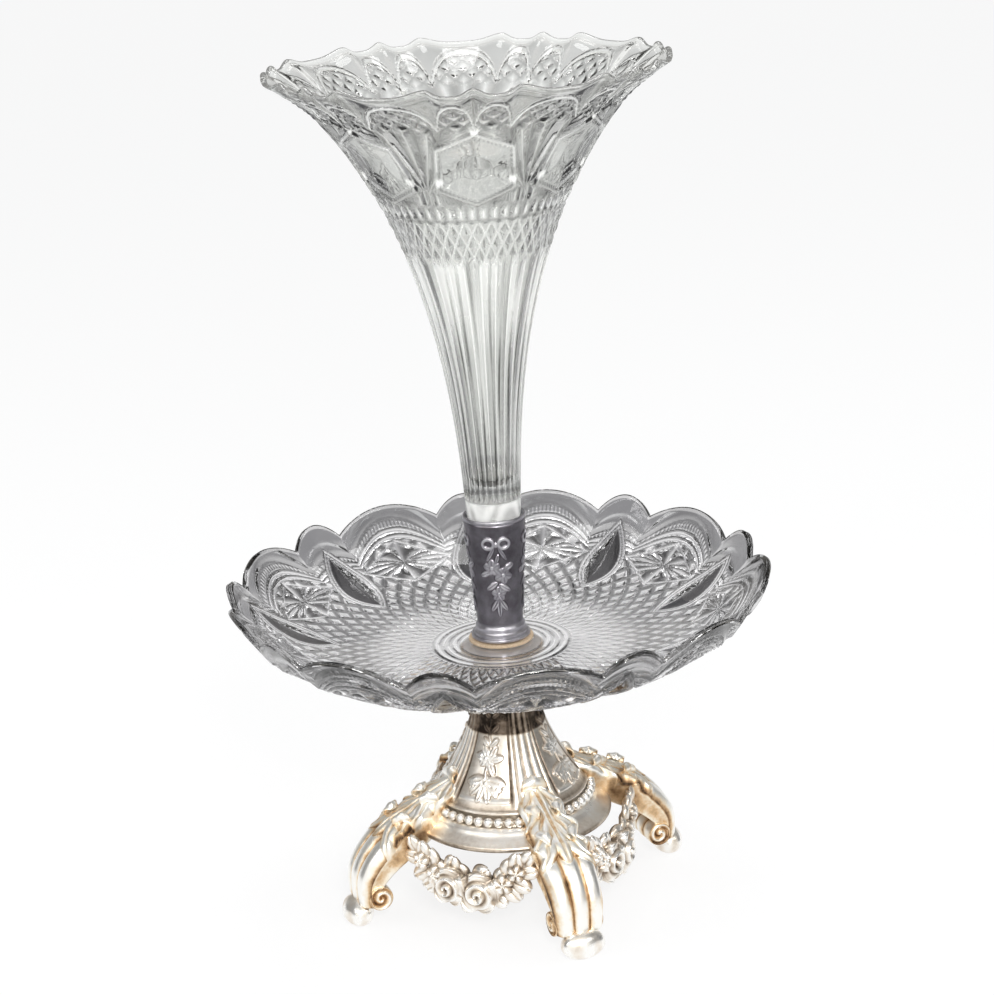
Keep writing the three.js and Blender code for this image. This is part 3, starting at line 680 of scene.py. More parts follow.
def add_dish():
    angles = circle(1080)
    under = np.concatenate([column(DISH_BORE, 29.5, 30), column(30, 116.5, 170), column(117, DISH_RADIUS, 8)])
    cut, tone = dish_cut(under, angles)
    low = dish_point(under, cut * smooth(under, 18.2, 18.9))

    rim_glass, swell = 2.2, 0.8
    slope = dish_slope(DISH_RADIUS)
    middle_reach, middle_height = dish_point(DISH_RADIUS, rim_glass / 2)
    turn = column(-1, 1, 9)[1:-1] * pi / 2
    across, out = rim_glass / 2 * np.sin(turn), swell * (np.cos(turn) - 1)
    rim_reach = middle_reach - across * sin(slope) + out * cos(slope)
    rim_height = middle_height + across * cos(slope) + out * sin(slope)

    top = np.concatenate([column(DISH_RADIUS, 60, 44), column(57, DISH_BORE + 4, 16)])
    glass = lerp(6.5, 4.4, clamp((top - 31) / 89))
    glass = lerp(glass, rim_glass, smooth(top, 104, DISH_RADIUS))
    reach, height, tones = joined([
        (*low, tone), (rim_reach, rim_height, 0.62), (*dish_point(top, glass), 1), (DISH_BORE, DISH_FLOOR, 1),
    ], angles)
    notch = smooth(reach, DISH_RADIUS - 26, DISH_RADIUS) * (1 - scallop(angles))
    reach = reach - 3.8 * notch - 0.3 * smooth(reach, 100, 112)
    revolved(reach, height - 8 * notch, angles, tones).piece(
        "dish_pressed", DISH_GLASS, "dish", "dish", "dish_glass")


def trumpet(height):
    share = clamp((height - SOCKET_TOP) / (RIM - SOCKET_TOP))
    return lerp(STUB_RADIUS, RIM_RADIUS, 0.12 * share + 0.74 * share ** 2.6 + 0.14 * share ** 10)


def arch_place(angle):
    """The place across an arch of the rim, -1 to 1: one wide arch and two narrow ones in each seventh."""
    place = (((angle - WIDE_ARCH) % ARCH_UNIT) / ARCH_UNIT + 0.25) % 1
    return np.where(place < 0.5, 4 * place - 1, 2 * ((4 * place) % 1) - 1)


def rim_tip(angle):
    """The edge of the rim stands up in a round tip between each two arches."""
    return (1 - np.cos(pi * np.abs(arch_place(angle)) ** 1.6)) / 2


def flutes(height, angle, reach):
    """Hollow flutes with painted shade in a dark streak here and there and a painted highlight on their upper
    part, above a smooth stub.
    """
    place = (angle - WIDE_ARCH) * FLUTES / 360
    hollow = 1 - (2 * (place % 1) - 1) ** 2
    chance = np.sin(np.floor(place) * 12.9898) * 43758.5 % 1
    drift = 0.3 + 0.4 * chance + 0.08 * np.sin(height / 17 + chance * 9)
    # Painted shade: a dark streak down each flute.
    streak = bump(place % 1 - drift, 0.13) * (0.55 + 0.45 * np.sin(height / 11 + chance * 40))
    # Painted highlight: the flutes are lighter and less streaked from about 250 mm up.
    upper = smooth(height, 250, 275)
    shade = 0.95 + 0.09 * upper - 0.1 * np.sin(height / 23 + chance * 20)
    shade = shade - (0.8 - 0.4 * upper) * clamp(streak)
    in_flutes = smooth(height, 186.5, 189) * (1 - smooth(height, 296, 300))
    cut = 0.2 * 2 * pi * reach / FLUTES * hollow * in_flutes
    tone = lerp(0.97, lerp(1.2, shade, clamp(2.6 * hollow)), in_flutes)
    tone = lerp(tone, 0.35 + 0.6 * (1 - hollow), bump(height - 191.5, 2.6))
    stub_tone = 1.18 + 0.07 * np.sin(height / 2.3 + 5 * np.sin(np.radians(3 * angle)))
    return cut, lerp(tone, stub_tone, 1 - smooth(height, 185.5, 187))


# The depth of the cut pattern on the vase, and its tone: a low tone paints shade into the glass.
def vase_cut(height, angle, reach):
    wide = wrapped(angle - WIDE_ARCH, ARCH_UNIT)
    x = reach * np.radians(wrapped(angle - WIDE_ARCH - ARCH_UNIT / 2, ARCH_UNIT))
    pattern = flutes(height, angle, reach)

    nail = diamonds(42 * angle / 360, (height - DIAMOND_ROW) / 11)
    band = smooth(height, 293, 300) * (1 - smooth(height, 313, 314.5))
    pattern = laid(pattern, band, 1.1 * (1 - nail), 0.84 + 0.26 * (1 - smooth(nail, 0.02, 0.3)))
    ovals = tent(angle * 56 / 360) * bump(height - BEAD_ROW, 3.4)
    band = smooth(height, 313.5, 314.5) * (1 - smooth(height, 321.5, 322.5))
    pattern = laid(pattern, band, 1.2 * (1 - ovals), 0.6 + 0.6 * ovals)

    upper = smooth(height, 321.5, 322.5)
    ray = tent(np.arctan2(reach * np.radians(wide), np.maximum(height - FEATHER_FOOT, 1)) / radians(19) + 0.5)
    band = upper * (1 - smooth(height, 355, 360))
    pattern = laid(pattern, band, 1.5 * (1 - ray), 0.52 + 0.5 * ray ** 2)

    y = height - LENS_ROW
    hexagon = LENS_HALF - np.maximum(np.abs(x), np.abs(y) + 0.42 * np.abs(x))
    ridge = bump(hexagon, 1.0)
    # Painted highlight: the upper borders of the hexagon are lighter than the lower ones.
    border_tone = 0.66 + 0.44 * ridge * (0.4 + 0.6 * (y > 0))
    pattern = laid(pattern, smooth(hexagon, -1.8, -1.4), 0.9 * (1 - ridge), border_tone)
    cut, tone = laid(pattern, smooth(hexagon, 1.0, 1.6), 0.5 + 1.1 * smooth(hexagon, 1, 11), 0.86)
    tone = lerp(tone, 1.25, bump(np.hypot(np.abs(x) - 15.2, y + 5.5), 2.4))
    y, kite_half = height - KITE_ROW, 3.8
    kite = kite_half * (1 - np.where(y > 0, y / 8, -y / 3.5)) - np.abs(x)
    pattern = laid((cut, tone), smooth(kite, -0.2, 0.4) * upper, 1.3 * clamp(1 - kite / kite_half), 1.3)

    arch_crest, arch_fall = 370.6, 13.5
    across = arch_place(angle)
    below = arch_crest - arch_fall * np.abs(across) ** 2.4 - height
    line = bump(below - 1.4, 1.3)
    lattice = diamonds(across * np.where(np.abs(wide) < ARCH_UNIT / 4, 2.0, 1.0), height / 6)
    arch = 1.3 * (1 - line), 0.4 + 0.8 * line
    arch = laid(arch, smooth(below, 2.9, 3.5), 1.3 * (1 - lattice), 0.5 + 0.6 * lattice)
    arch = laid((0, 0.68), smooth(below, -0.6, 0.2), *arch)
    return laid(pattern, smooth(height, 354, 357), *arch)


def add_vase():
    angles = circle(840)
    stub = [[7.8, VASE_BOTTOM], [8.2, VASE_BOTTOM + 0.15], [8.6, VASE_BOTTOM + 0.7], [8.8, VASE_BOTTOM + 1.6]]
    heights = np.concatenate([column(150, 178, 6), column(181, 185, 4), column(185.7, 199, 32),
                              column(200, 297, 72), column(297.8, 372.2, 112)])
    in_socket = lerp(8.8, STUB_RADIUS, (heights - 139.7) / 39.3)
    straight = np.where(heights < SOCKET_TOP, in_socket, trumpet(heights))
    cut, tone = vase_cut(heights, angles, straight)
    slope = np.arctan(np.gradient(trumpet(heights)[:, 0], heights[:, 0]))[:, None]

    lip = column(0, 1, 8)[1:] * pi
    inner = np.concatenate([column(371, 300, 36), column(296, 197, 18)])
    reach, height, tones = joined([
        part(stub, 1.0),
        (straight - cut * np.cos(slope), heights + cut * np.sin(slope), tone),
        (RIM_RADIUS - 1.5 + 1.5 * np.cos(lip), RIM - 1.3 + 1.3 * np.sin(lip), 1.06),
        (trumpet(inner) - 3.6, inner, 1.0),
        part([[7.2, 195.0], [5.6, 193.6], [3.4, 192.8], [1.0, 192.5]], 1.1),
    ], angles)
    drop = 2.8 * smooth(height, RIM - 22, RIM) * (1 - rim_tip(angles))
    revolved(reach, height - drop, angles, tones, closed=False).piece(
        "vase_pressed", VASE_GLASS, "vase", "vase", "vase_glass")


# Reliefs that are cast or stamped on the metal: each gives a height at flat places x and y

def petal(x, y, x0, y0, angle, length, width, ridge):
    """A leaf or petal from its foot at x0, y0. The angle is from +X, and ridge deepens its midrib."""
    c, s = cos(radians(angle)), sin(radians(angle))
    along = ((x - x0) * c + (y - y0) * s) / length
    across = (-(x - x0) * s + (y - y0) * c) / (width / 2)
    shape = np.maximum(4 * along * (1 - along), 0) ** 0.65
    inside = clamp(1 - (across / np.maximum(shape, 1e-3)) ** 2) * (along > 0) * (along < 1)
    vein = 1 - ridge * np.exp(-(across / 0.16) ** 2)
    return np.sqrt(inside) * vein * (0.65 + 0.35 * np.sin(clamp(along) * pi))


def petals(x, y, *rows):
    return np.max([petal(x, y, *row) for row in rows], axis=0)


def bloom(x, y, x0, y0, radius, count, turn):
    """A flower seen from the front."""
    rows = [(x0, y0, turn + i * 360 / count, radius, radius * 0.95, 0.35) for i in range(count)]
    eye = clamp(1 - ((x - x0) ** 2 + (y - y0) ** 2) / (radius * 0.3) ** 2)
    return np.maximum(petals(x, y, *rows) * 0.8, np.sqrt(eye))


def highest(*heights):
    return np.max(np.broadcast_arrays(*heights), axis=0)


def floral_drop(x, y):
    """The hanging ornament of a bell panel, with y along the flank from its foot."""
    stem = np.exp(-((x - 0.6 * np.sin(y * 0.35)) / 0.6) ** 2)
    stem = stem * smooth(y, 6, 9) * (1 - smooth(y, 46, 50)) * 0.6
    leaves = [(side, foot, turn + 3 * sin(foot), 6.2 - 0.05 * foot, 2.9, 0.4)
              for foot in (25, 31, 37, 43) for side, turn in ((0.3, 48), (-0.3, 132))]
    middle = [(0, 19.5, turn, 7, 3.6, 0.5) for turn in (12, 62, 118, 165, -60)]
    lower = [(0, 12.5, turn, 9.6, 4.2, 0.5) for turn in (-14, 194, -45, 225, -74, 254)]
    return highest(
        stem, petals(x, y, *leaves), bloom(x, y, -1.3, 20.5, 4.2, 5, 90), 0.9 * petals(x, y, *middle),
        bloom(x, y, 0, 11, 3.1, 6, 30), bloom(x, y, -5.6, 9.4, 2.7, 5, 10), bloom(x, y, 5.6, 9.0, 2.7, 5, 50),
        0.85 * petals(x, y, *lower),
    )


def collar_drop(x, y):
    """The bow, roses and leaves on the socket, with y up from the socket's foot."""
    loops = [bump(np.hypot((x - way * 3.4) / 3.1, (y - 46) / 2.9) - 0.75, 0.32) for way in (-1, 1)]
    knot = np.sqrt(clamp(1 - (x / 1.2) ** 2 - ((y - 45.6) / 1.4) ** 2))
    leaves = petals(
        x, y, (-0.6, 45, -118, 8, 2.2, 0.4), (0.6, 45, -62, 8, 2.2, 0.4), (-2.4, 33, 200, 5.6, 3.0, 0.5),
        (2.6, 33.5, 30, 5.6, 3.0, 0.5), (-0.6, 37, 70, 4.4, 2.2, 0.4), (0, 28, 215, 6.2, 3, 0.5),
        (0.4, 27, -35, 6.2, 3, 0.5), (0, 20, 240, 6.5, 2.8, 0.5), (0.4, 20, -60, 6.5, 2.8, 0.5),
        (0.2, 19, 270, 7.5, 2.6, 0.5),
    )
    return highest(
        *loops, knot, leaves, bloom(x, y, -2.3, 34.8, 4.0, 5, 20), bloom(x, y, 2.5, 31.2, 4.2, 5, 60),
        bloom(x, y, 0.2, 22.5, 3.5, 5, 90),
    )


# Socket, rod and small rings

def socket_reach(height):
    foot_reach, foot_end, length = 10.1, 129.7, 49.3
    return lerp(foot_reach, SOCKET_MOUTH, clamp((height - foot_end) / length) ** 1.35)


def add_socket():
    angles = circle(480)
    heights = column(130.4, 176.6, 150)
    x = socket_reach(heights) * np.radians(wrapped(angles - SOCKET_FRONT, 90))
    ornament = collar_drop(x, heights - SOCKET_BOTTOM)
    rough = 0.4 + 0.55 * ornament - 0.3 * clamp(np.gradient(ornament, axis=1) ** 2 * 40)
    inside = column(177.5, 136.2, 12)
    reach, height, tones = joined([
        part([[6.7, 122.7], [12.7, 122.7], [13.0, 123.0], [13.0, 124.0], [12.7, 124.3], [11.9, 124.35],
              [11.7, 124.9], [11.75, 125.4], [11.3, 125.7], [10.75, 126.0], [10.7, 127.4], [10.95, 127.8],
              [10.9, 128.3], [10.35, 128.7], [10.15, 129.3]], 0.8),
        (socket_reach(heights) + 0.75 * ornament, heights, clamp(rough)),
        part([[13.2, 177.0], [13.55, 177.3], [13.75, 177.9], [13.7, 178.6], [13.3, 179.0], [12.9, 178.9],
              [12.6, 178.4]], 0.75),
        (socket_reach(inside) - 1.1, inside, 0.9),
        part([[8.5, 136.0], [0.5, 136.0], [0.5, 131.3], [6.65, 131.3]], 0.3),
    ], angles)
    revolved(np.minimum(reach, SOCKET_MOUTH), height, angles, tones).piece(
        "socket_stamped", PEWTER, "socket", "socket", "dark_pewter", sharp=60)


def add_small_rings():
    def ring(inner, outer, low, high):
        return [(inner, low), (outer, low), (outer, high), (inner, high)]

    gasket = ring(ROD_BORE, 14.3, 120.95, 122.1)
    turned_piece("socket_gasket", gasket, CORK, "socket_washer", "socket_washer", "cork")
    turned_piece("seat_gasket", ring(ROD_BORE, 17.4, 112.35, 113.75), CORK, "foot", "seat_washer", "cork")
    turned_piece("vase_felt", ring(0.3, 8.85, 136.35, 137.75), FELT, "socket", "vase_pad", "felt", 0.5)
    turned_piece("washer_turned", ring(ROD_BORE, 8.95, 97.5, 98.7), STEEL, "foot", "rod_washer", "steel", 0.3)
    bush = [(ROD_BORE, 123.0), (5.6, 123.0), (6.3, 123.6), (6.3, 126.4), (5.9, 126.8), (5.9, 127.3),
            (6.3, 127.7), (6.3, 130.4), (5.7, 131.0), (ROD_BORE, 131.0)]
    turned_piece("bush_turned", bush, BRASS, "socket", "thread_bush", "brass", 0.15)


def add_rod():
    pitch, root, depth = 1.5, 2.45, 0.52
    heights = np.arange(90.0, 131.01, pitch / 12)[:, None]
    angles = circle(60)
    ends = smooth(heights, 90, 91) * (1 - smooth(heights, 130, 131))
    thread = depth * tent(heights / pitch - angles / 360) * ends
    revolved(root + thread, heights, angles, 0.7, closed=False).piece(
        "rod_threaded", STEEL, "foot", "tie_rod", "steel", sharp=35)


def add_nut():
    """A hexagon nut with turned-off corners."""
    angles = circle(120)
    flat = 5.75 * cos(pi / 6) / np.cos(np.radians(wrapped(angles - 30, 60)))
    limit = np.array([4.7, 5.1, 5.35, 5.9, 5.9, 5.35, 5.1, 4.7])[:, None]
    heights = np.array([92.2, 92.35, 92.6, 93.1, 96.3, 96.8, 97.05, 97.2])[:, None]
    bore = part([[ROD_BORE, 97.2], [ROD_BORE, 94.7], [ROD_BORE, 92.2]], 0.7)
    reach, height, tones = joined([(np.minimum(flat, limit), heights, 0.7), bore], angles)
    revolved(reach, height, angles, tones).piece("nut_chamfered", BRASS, "foot", "rod_nut", "brass", sharp=30)


def add_seat():
    flare = np.linspace(0, 1, 26)
    reach = lerp(13.5, 19.0, flare ** 2.4)
    height = lerp(102.8, 110.3, 1 - (1 - flare) ** 1.25)
    lip = [[19.0, 110.6], [18.8, 110.9], [18.65, 111.2], [18.9, 111.5], [18.85, 111.9], [18.5, 112.0],
           [3.45, 112.0], [3.4, 111.6], [3.4, 103.0], [3.6, 102.8]]
    reach, height = np.vstack([np.stack([reach, height], -1), lip]).T
    beads = 0.35 * bump(height - 105.2, 0.8) * (reach > 10)
    revolved(reach + beads, height, circle(144), 0.55).piece(
        "seat_turned", SILVER, "foot", "bowl_seat", "silver_plate", sharp=60)


# Bell

def flank(height):
    share = clamp((height - FLANK_FOOT) / (NECK_TOP - FLANK_FOOT))
    return NECK + (BEAD_SEAT - NECK) * (1 - share) ** 2


def add_bell():
    angles = circle(720)
    heights = column(52.2, NECK_TOP - 0.6, 150)
    leg_side, panel_side = wrapped(angles - 45, 90), wrapped(angles, 90)

    reeds = highest(*(
        rise * bump(np.abs(leg_side) - middle, width)
        for middle, width, rise in ((0, 4.4, 0.9), (9.5, 3.6, 0.9), (16.5, 2.2, 0.5))
    ))
    groove = np.exp(-((np.abs(leg_side) - 20.2) / 0.9) ** 2)
    in_reeds = 1 - smooth(np.abs(leg_side), 21, 23)
    on_flank = smooth(heights, 52, 56)
    x = flank(heights) * np.radians(panel_side)
    drop = floral_drop(x, heights - FLANK_FOOT) * (1 - smooth(np.abs(panel_side), 26, 28))
    frame_line = bump(heights - 55.6, 0.8) * (np.abs(panel_side) < 23)
    relief = (0.95 * reeds - 0.35 * groove) * on_flank + 0.5 * frame_line
    relief = relief + 1.5 * drop * (1 - smooth(heights, 97.5, 101))
    tone = lerp(0.60, 0.30 + 0.60 * reeds - 0.2 * groove, in_reeds * on_flank)
    slope = np.hypot(np.gradient(drop, axis=0), np.gradient(drop, axis=1) * 2)
    tone = clamp(tone + 0.36 * drop - 0.75 * clamp(slope * 1.6, 0, 0.5))
    tone = tone - 0.3 * (1 - smooth(heights, 52, 55)) + 0.2 * frame_line
    # Painted shadow of the dish: the neck is dark all round from about 81 mm up, its relief a little less
    # dark.
    tone = lerp(tone, 0.02 + 0.2 * clamp(reeds + drop) ** 2, smooth(heights, 80.6, 81.8))

    skirt = np.array([[44.4, 37.5], [44.85, 37.8], [45.0, 38.5], [44.9, 39.3], [44.3, 39.9], [43.4, 40.4],
                      [42.3, 41.0], [41.2, 41.75], [40.2, 42.6], [39.4, 43.5], [38.8, 44.3], [38.2, 44.8],
                      [37.6, 45.1], [37.2, 45.6], [36.6, 45.8], [34.3, 45.8], [34.1, 46.2], [34.1, 50.2],
                      [34.6, 50.6], [34.75, 51.1], [34.5, 51.6]])
    rise = skirt[:, 1:]
    # Painted highlight: the skirt is lighter on its upper slope, between 41 and 44 mm up.
    skirt_tone = 0.60 + 0.14 * smooth(rise, 41, 44) - 0.22 * (rise < 39.9) - 0.2 * (rise > 45.5)
    t = column(0.06, 1, 26)
    crown, bend, brim = np.array([[11.5, 99.0], [11.5, 76.95], [32.1, 50.4]])
    hollow = crown * (1 - t) ** 2 + bend * 2 * t * (1 - t) + brim * t * t
    reach, height, tones = joined([
        part(skirt, skirt_tone),
        (flank(heights) + relief, heights, tone),
        part([[13.2, 102.3], [12.6, 102.5], [3.6, 102.5], [3.35, 102.2], [3.35, 99.3], [3.6, 99.0],
              [11.2, 99.0]], 0.35),
        part(hollow, 0.3),
        part([[32.1, 47.0], [32.6, 44.6], [35.0, 43.8], [37.6, 42.6], [40.0, 41.2], [41.9, 39.9],
              [43.0, 39.2], [43.1, 38.2], [43.5, 37.6]], 0.4),
    ], angles)
    revolved(reach, height, angles, tones).piece("bell_cast", SILVER, "foot", "bell", "silver_plate")


def add_beads():
    pitch = np.degrees(BEAD_PITCH / BEAD_RING)
    section = np.radians(circle(10))[None, :]
    reach, height = BEAD_RING - 0.75 + 0.85 * np.cos(section), BEAD_HEIGHT + 1.05 * np.sin(section)
    made = Clump()
    made.add_rings(round_form(reach, height, column(-4.4 * pitch, 4.4 * pitch, 60)), 0.3)
    turn = np.linspace(0, pi, 11)[-2:0:-1]
    ball = round_form(np.sin(turn) * BEAD_RADIUS, np.cos(turn) * BEAD_RADIUS, circle(18))
    for i in range(9):
        centre = spun((i - 4) * pitch) @ [BEAD_RING, 0, BEAD_HEIGHT]
        made.add_rings(ball + centre, 0.76 + 0.12 * ball[..., 2] / BEAD_RADIUS)
    made.four_pieces("beads_{}", SILVER, "bead_strip_{}", 90)


# Legs

LEG_LENGTH = 86
LEG_BACK, LEG_BELLY = (
    [(45 + across * 31, 10 + up * 27.5) for across, up in points] for points in (
        ((-0.8, 1.93), (-0.03, 1.56), (0.61, 1.18), (1.02, 0.62), (1.06, 0)),
        ((-0.8, 1.45), (-0.15, 0.99), (0.4, 0.62), (0.71, 0.28), (0.8, 0)),
    )
)


def leg_frame(shares):
    """Back, belly, the way from belly to back, and half the width, at shares of the leg's length."""
    back, belly = catmull(LEG_BACK, shares), catmull(LEG_BELLY, shares)
    up = back - belly
    depth = np.linalg.norm(up, axis=1)
    half = np.interp(shares, [0, 0.16, 0.3, 0.46, 0.75, 1], [14.5, 18.5, 22.5, 25.5, 23.5, 20.5]) / 2
    return back, belly, up / depth[:, None], depth, half


def three_reeds(across):
    return bump(2 * ((across + 1) * 1.5 % 1) - 1, 1.0)


def acanthus(x, s):
    """Leaf lobes that flow down the leg and out to its edges, with s along the leg."""
    lobes = [(0, 2, 90, 28, 8, 0.5), (0, 25, 90, 22, 8, 0.5)]
    for i in range(4):
        for way in (-1, 1):
            lean = 30 + 5 * sin(2.4 * i + way)
            lobes.append((way * 1.2, 1 + 9.5 * i + 1.5 * way, 90 - way * lean, 21, 8.6, 0.45))
    return petals(x, s, *lobes)


def leg_body(made):
    shares = np.linspace(0, 1, 260)
    _, belly, up, depth, half = leg_frame(shares)
    shares, depth, half = shares[:, None], depth[:, None], half[:, None]
    across = np.linspace(1, -1, 91)
    along = shares * LEG_LENGTH
    reed = three_reeds(across)
    reed_in = smooth(shares, 0.44, 0.56)
    reed_end = np.where(shares > 0.93, np.sqrt(clamp(1 - ((shares - 0.93) / 0.07) ** 2)), 1)
    leaf = acanthus(across * half, along)
    wave = np.cos(2 * pi * (along - 4) / 10.5)
    edge_lobe = (0.5 + 0.5 * wave) * smooth(np.abs(across), 0.74, 1) * (1 - reed_in)
    tip = (leaf * (1 - smooth(along, 44, 49)) > 0.03) & (along > 36)
    crest_reed = (2.2 * reed - 0.5) * reed_end - 1.2 * (1 - reed_end)
    crest = np.where(tip, np.maximum(2.1 * leaf + 0.4, crest_reed), lerp(2.1 * leaf, crest_reed, reed_in))
    fall = depth * 0.16 * across ** 2 + 2.1 * clamp((np.abs(across) - 0.8) / 0.2) ** 2
    height = depth - fall - 1.9 + crest + 2.2 * edge_lobe
    leaf_tone = 0.2 + 0.66 * leaf + 0.2 * edge_lobe
    reed_tone = (0.27 + 0.66 * reed ** 1.2) * (0.25 + 0.75 * reed_end)
    tone = np.where(tip, leaf_tone, lerp(leaf_tone, reed_tone, reed_in))
    tone = tone - 0.5 * clamp(np.hypot(np.gradient(crest, axis=0), np.gradient(crest, axis=1)) * 1.2, 0, 0.5)
    widen = 1 + 0.1 * (wave + 0.2) * (1 - reed_in)

    share = np.linspace(0, 1, 11)[1:]
    sunk = np.sin(pi * share)
    side_y = half * lerp(widen, 1, share) - 0.96 * sunk - 1.6 * share
    side_h = lerp(height[:, -1:], 0.4, share)
    side_t = 0.56 - 0.24 * sunk + 0 * side_h
    below = np.linspace(-0.8, 0.8, 12) * half
    y = np.concatenate([across * half * widen, -side_y, below, side_y[:, ::-1]], 1)
    h = np.concatenate([height, side_h, 0.2 + 0 * below, side_h[:, ::-1]], 1)
    tone = np.concatenate([tone, side_t, 0.3 + 0 * below, side_t[:, ::-1]], 1)
    spots = belly[:, None, :] + up[:, None, :] * h[..., None]
    rings = np.stack([spots[..., 0], y, spots[..., 1]], -1)
    made.add_rings(rings[:, ::-1], clamp(tone[:, ::-1]))


def leg_scroll(made):
    """The rolled end of the leg: reeded across, with a spiral groove on each cheek."""
    turn = circle(72)
    across, cheek = column(-1, 1, 61), column(4.8, 0.15, 22)
    half = 11.2
    crest = three_reeds(across)
    rows = [(5.2 + 0.5 * crest, across * half, 0.2 + 0.55 * crest)]
    for way in (1, -1):
        spiral = tent(cheek / 4.8 * 1.3 - way * turn / 360)
        rows.append((cheek, way * (half - 2.2 * (1 - spiral) ** 1.5 + 0.4), 0.05 + 0.6 * spiral))
    reach, y, tones = joined([tuple(value[::-1] for value in rows[2]), *rows[:2]], turn)
    turn = np.radians(turn)
    made.add_rings(np.stack([68.0 + reach * np.cos(turn), y, 14.0 + reach * np.sin(turn)], -1), tones)


def rolled_lobe(made, share, side, size, lean):
    """A leaf lobe that rolls up and back over itself, off the leg's back."""
    back, _, up, _, half = (value[0] for value in leg_frame(np.array([share])))
    before, after = catmull(LEG_BACK, np.array([share - 0.01, share + 0.01]))
    tangent = unit_vector(after - before)
    u, v = column(0, 1, 30), np.linspace(-1, 1, 21)[None, :]
    bend = u * radians(230)
    scale = size * (1 - 0.35 * u) / radians(125)
    width = size * 0.8 * np.sin(pi * clamp(0.22 + 0.78 * u)) ** 0.5
    cup = -0.3 * size * v * v + 0.04 * size * np.cos(2 * pi * v)
    outward = radians(lean) * side
    way = np.array([tangent[0] * cos(outward), sin(outward), tangent[1] * cos(outward)])
    rise = np.array([up[0], 0, up[1]])
    rise = unit_vector(rise - way * (rise @ way))
    start = np.array([back[0], side * half * 0.6, back[1]]) - rise * 1.2 - way * size * 0.3
    climb = scale * (1 - np.cos(bend)) + cup * (0.3 + 0.7 * u)
    surface = (start + (scale * np.sin(bend))[..., None] * way + climb[..., None] * rise
               + (v * width)[..., None] * np.cross(rise, way))
    made.add_sheet(surface, 1.2, clamp(0.5 + 0.35 * (1 - v * v) - 0.25 * np.exp(-(v / 0.12) ** 2)))


def add_legs():
    leg = Clump()
    leg_body(leg)
    leg_scroll(leg)
    for share, side, size, lean in (
        (0.1, 0, 7.5, 0), (0.22, -1, 5.4, 64), (0.22, 1, 5.4, 64), (0.38, -1, 5.2, 64), (0.38, 1, 5.2, 64),
    ):
        rolled_lobe(leg, share, side, size, lean)
    leg.four_pieces("leg_{}_acanthus", WORN_SILVER, "leg_{}", 45)


def add_pads():
    """A rounded hoof, wider than it is deep, with a soft ridge down each side of its front."""
    pad_height = 12.6
    turn = np.linspace(radians(-62), radians(86), 40)
    low = sin(radians(-62))
    reach = np.concatenate([[0.5, 3.6, 4.4], 10 * np.cos(turn)])[:, None]
    height = np.maximum(0.3, pad_height * (np.sin(turn) - low) / (1 - low))
    height = np.concatenate([[0.0, 0.0, 0.08], height])[:, None]
    ridge = 0.25 * np.cos(np.radians(circle(72)) * 6) * np.sin(clamp(height / pad_height) * pi)
    rings = round_form(reach + ridge * (reach > 5), height, circle(72)) * [0.67, 1, 1] + [76.0, 0, 0]
    pad = Clump()
    pad.add_rings(rings, clamp(0.62 + 0.7 * ridge + 0.14 * np.sin(clamp(height / 12) * pi)))
    pad.four_pieces("foot_pad_{}_cast", SILVER, "foot_pad_{}", 45)


# Swags

def placed(points, origin, face):
    """Points drawn flat, with x to the right, y up and z towards the viewer, set on a face in space."""
    face = unit_vector(face)
    up = unit_vector([0, 0, 1] - face * face[2])
    return np.array(origin) + points @ np.stack([np.cross(up, face), up, face])


def add_flower(made, origin, face, reach, turn, height, tone, foot_share, foot_depth):
    """Petals in rings, with a skirt that goes down behind their edge."""
    flat = np.stack([reach * np.cos(turn), reach * np.sin(turn), height], -1)
    skirt = flat[-1:] * [foot_share, foot_share, 0] - [0, 0, foot_depth]
    tone = np.concatenate([tone, 0.15 + 0 * tone[-1:]])
    made.add_rings(placed(np.concatenate([flat, skirt]), origin, face)[::-1], tone[::-1])


def rose(made, origin, face, radius, turn):
    """A full rose: a domed disc with a spiral of rolled petals."""
    rho = column(0.03, 1, 44)
    phi = np.radians(circle(96)) + radians(turn)
    spiral = (rho * 2.5 + phi / (2 * pi)) % 1
    roll = np.where(spiral < 0.7, spiral / 0.7, (1 - spiral) / 0.3)
    outer = smooth(rho, 0.70, 0.78)
    place = (phi * 5 / (2 * pi) + 0.35 * rho) % 1
    lap = np.where(place < 0.84, place / 0.84, (1 - place) / 0.16)
    height = 0.72 * np.sqrt(1 - 0.82 * rho ** 2) + 0.24 * roll * (1 - outer) + 0.22 * lap * outer * rho
    height = height + 0.14 * smooth(rho, 0.86, 0.95) * np.sin(pi * place)
    reach = radius * rho * (1 + 0.1 * np.sin(pi * place) * outer)
    tone = clamp(0.10 + 0.80 * roll * (1 - outer) + 0.74 * lap * outer + 0.1 * rho)
    add_flower(made, origin, face, reach, phi, radius * height, tone, 0.9, 0.15 * radius)


def blossom(made, origin, face, radius, turn):
    """A small open flower with a round eye."""
    rho, phi = column(0.04, 1, 16), np.radians(circle(60))
    lobe = np.sin(pi * (phi * 5 / (2 * pi) % 1)) ** 0.5
    eye = bump(rho, 0.26)
    height = radius * (0.30 + 0.42 * lobe * np.sin(pi * clamp(rho)) ** 0.8 + 0.3 * eye)
    tone = clamp(0.2 + 0.7 * lobe * np.sin(pi * clamp(rho, 0.1, 0.9)) + 0.6 * eye)
    reach = radius * rho * (0.66 + 0.34 * lobe)
    add_flower(made, origin, face, reach, phi + radians(turn), height, tone, 0.8, 0.3 * radius)


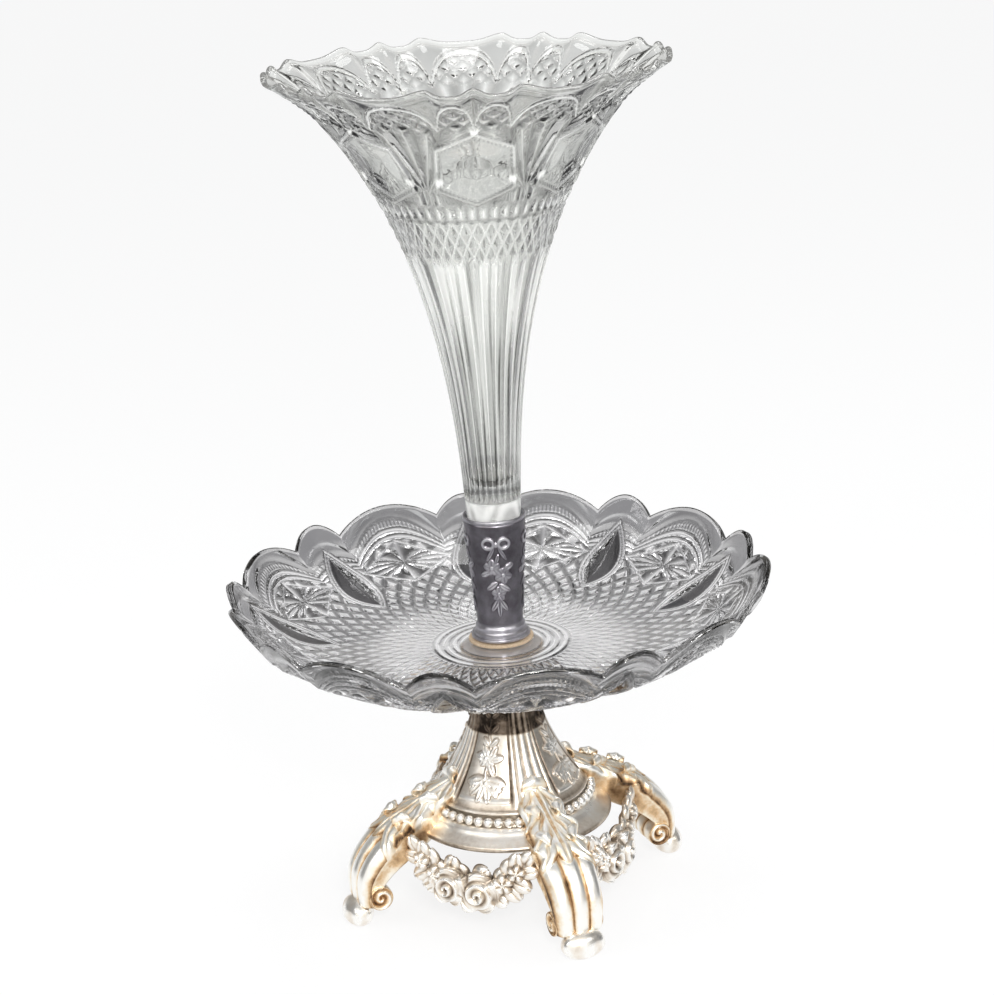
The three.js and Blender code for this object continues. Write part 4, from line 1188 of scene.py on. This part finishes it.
def leaf(made, origin, face, turn, length, width, curl):
    """A rounded, folded leaf from its foot. Turn 0 points to the right, and 90 up."""
    u, v = column(0, 1, 22), np.linspace(-1, 1, 15)
    side = np.abs(v)
    crease = np.exp(-(v / 0.16) ** 2)
    y = v * width / 2 * np.sin(pi * clamp(0.08 + 0.9 * u)) ** 0.55
    z = 0.34 * np.sqrt(clamp(1 - side ** 2.4)) * np.sin(pi * clamp(u, 0.03, 0.97)) ** 0.5 - 0.12 * crease
    flat = np.stack([length * u + 0 * v, y, width * z + curl * length * u * u], -1) @ spun(turn).T
    tone = clamp(0.92 - 0.52 * side ** 3 - 0.5 * crease - 0.5 * (1 - u) ** 2)
    made.add_sheet(placed(flat, origin, face)[::-1], 1.0, tone[::-1])


def swag_height(side):
    return 41 - 21 * (1 - (side / 30) ** 2)


def add_swags():
    swag = Clump()
    plane = 46

    def spot(out, side, lift):
        return plane + out, side, swag_height(side) + lift

    sides = np.linspace(-29, 29, 60)
    centre = np.stack([plane + 0 * sides, sides, swag_height(sides)], -1)
    tangent = np.gradient(centre, axis=0)
    tangent /= np.linalg.norm(tangent, axis=1)[:, None]
    outward = np.array([1.0, 0, 0])
    section = np.radians(circle(12))[None, :, None]
    ways = np.cos(section) * outward + np.sin(section) * np.cross(tangent, outward)[:, None, :]
    swag.add_rings(centre[:, None, :] + (2.1 + 0.4 * np.sin(sides * 1.3))[:, None, None] * ways, 0.35)

    for side, radius, turn in ((-8.8, 8.6, 20), (4.4, 9.2, 75)):
        rose(swag, spot(1.8, side, 1.2), (1, 0.02 * side, -0.05), radius, turn)
    for side, lift, length, width, turn in (
        (-14.8, -3.0, 7, 7, 215), (-9.5, 5.5, 8, 8.5, 75), (-3.0, 5.0, 7, 6, 110), (1.5, 6.0, 9, 8.5, 35),
        (10.5, -3.5, 7, 7, -30), (-2.4, -5.5, 5, 5, -95),
    ):
        leaf(swag, spot(0.4, side, lift), (1, 0.01 * side, 0.15), turn, length, width, 0.3)
    for way in (-1, 1):
        for k, (side, lift, length, width, spread) in enumerate((
            (13.2, 1.0, 9, 8.5, 60), (15.5, -1.5, 9.5, 8, -40), (17.5, 3.2, 9, 8, 85),
            (19.5, -2.0, 9, 7.5, -25), (21.5, 2.8, 8.5, 7.5, 80), (23.5, -1.5, 8, 7, 0),
            (25.5, 1.5, 7, 6.5, 60),
        )):
            turn = 90 - way * (90 - spread) + 6 * sin(5 * k + way)
            leaf(swag, spot(0.9, way * side, 0.5 * lift), (1, way * 0.3, 0.1), turn, length, width, 0.15)
        for side, lift, size in ((15.8, 0.6, 5.2), (22.4, 0.8, 4.4)):
            blossom(swag, spot(2.6, way * side, lift), (1, way * 0.25, 0.05), size, side * 31)
    blossom(swag, spot(2.2, -2.6, 3.8), (1, 0, 0), 2.8, 40)
    swag.four_pieces("swag_{}_roses", SILVER, "swag_{}", 90)


add_dish()
add_vase()
add_socket()
add_small_rings()
add_rod()
add_nut()
add_seat()
add_bell()
add_beads()
add_legs()
add_pads()
add_swags()

bpy.context.scene.view_settings.view_transform = "Standard"
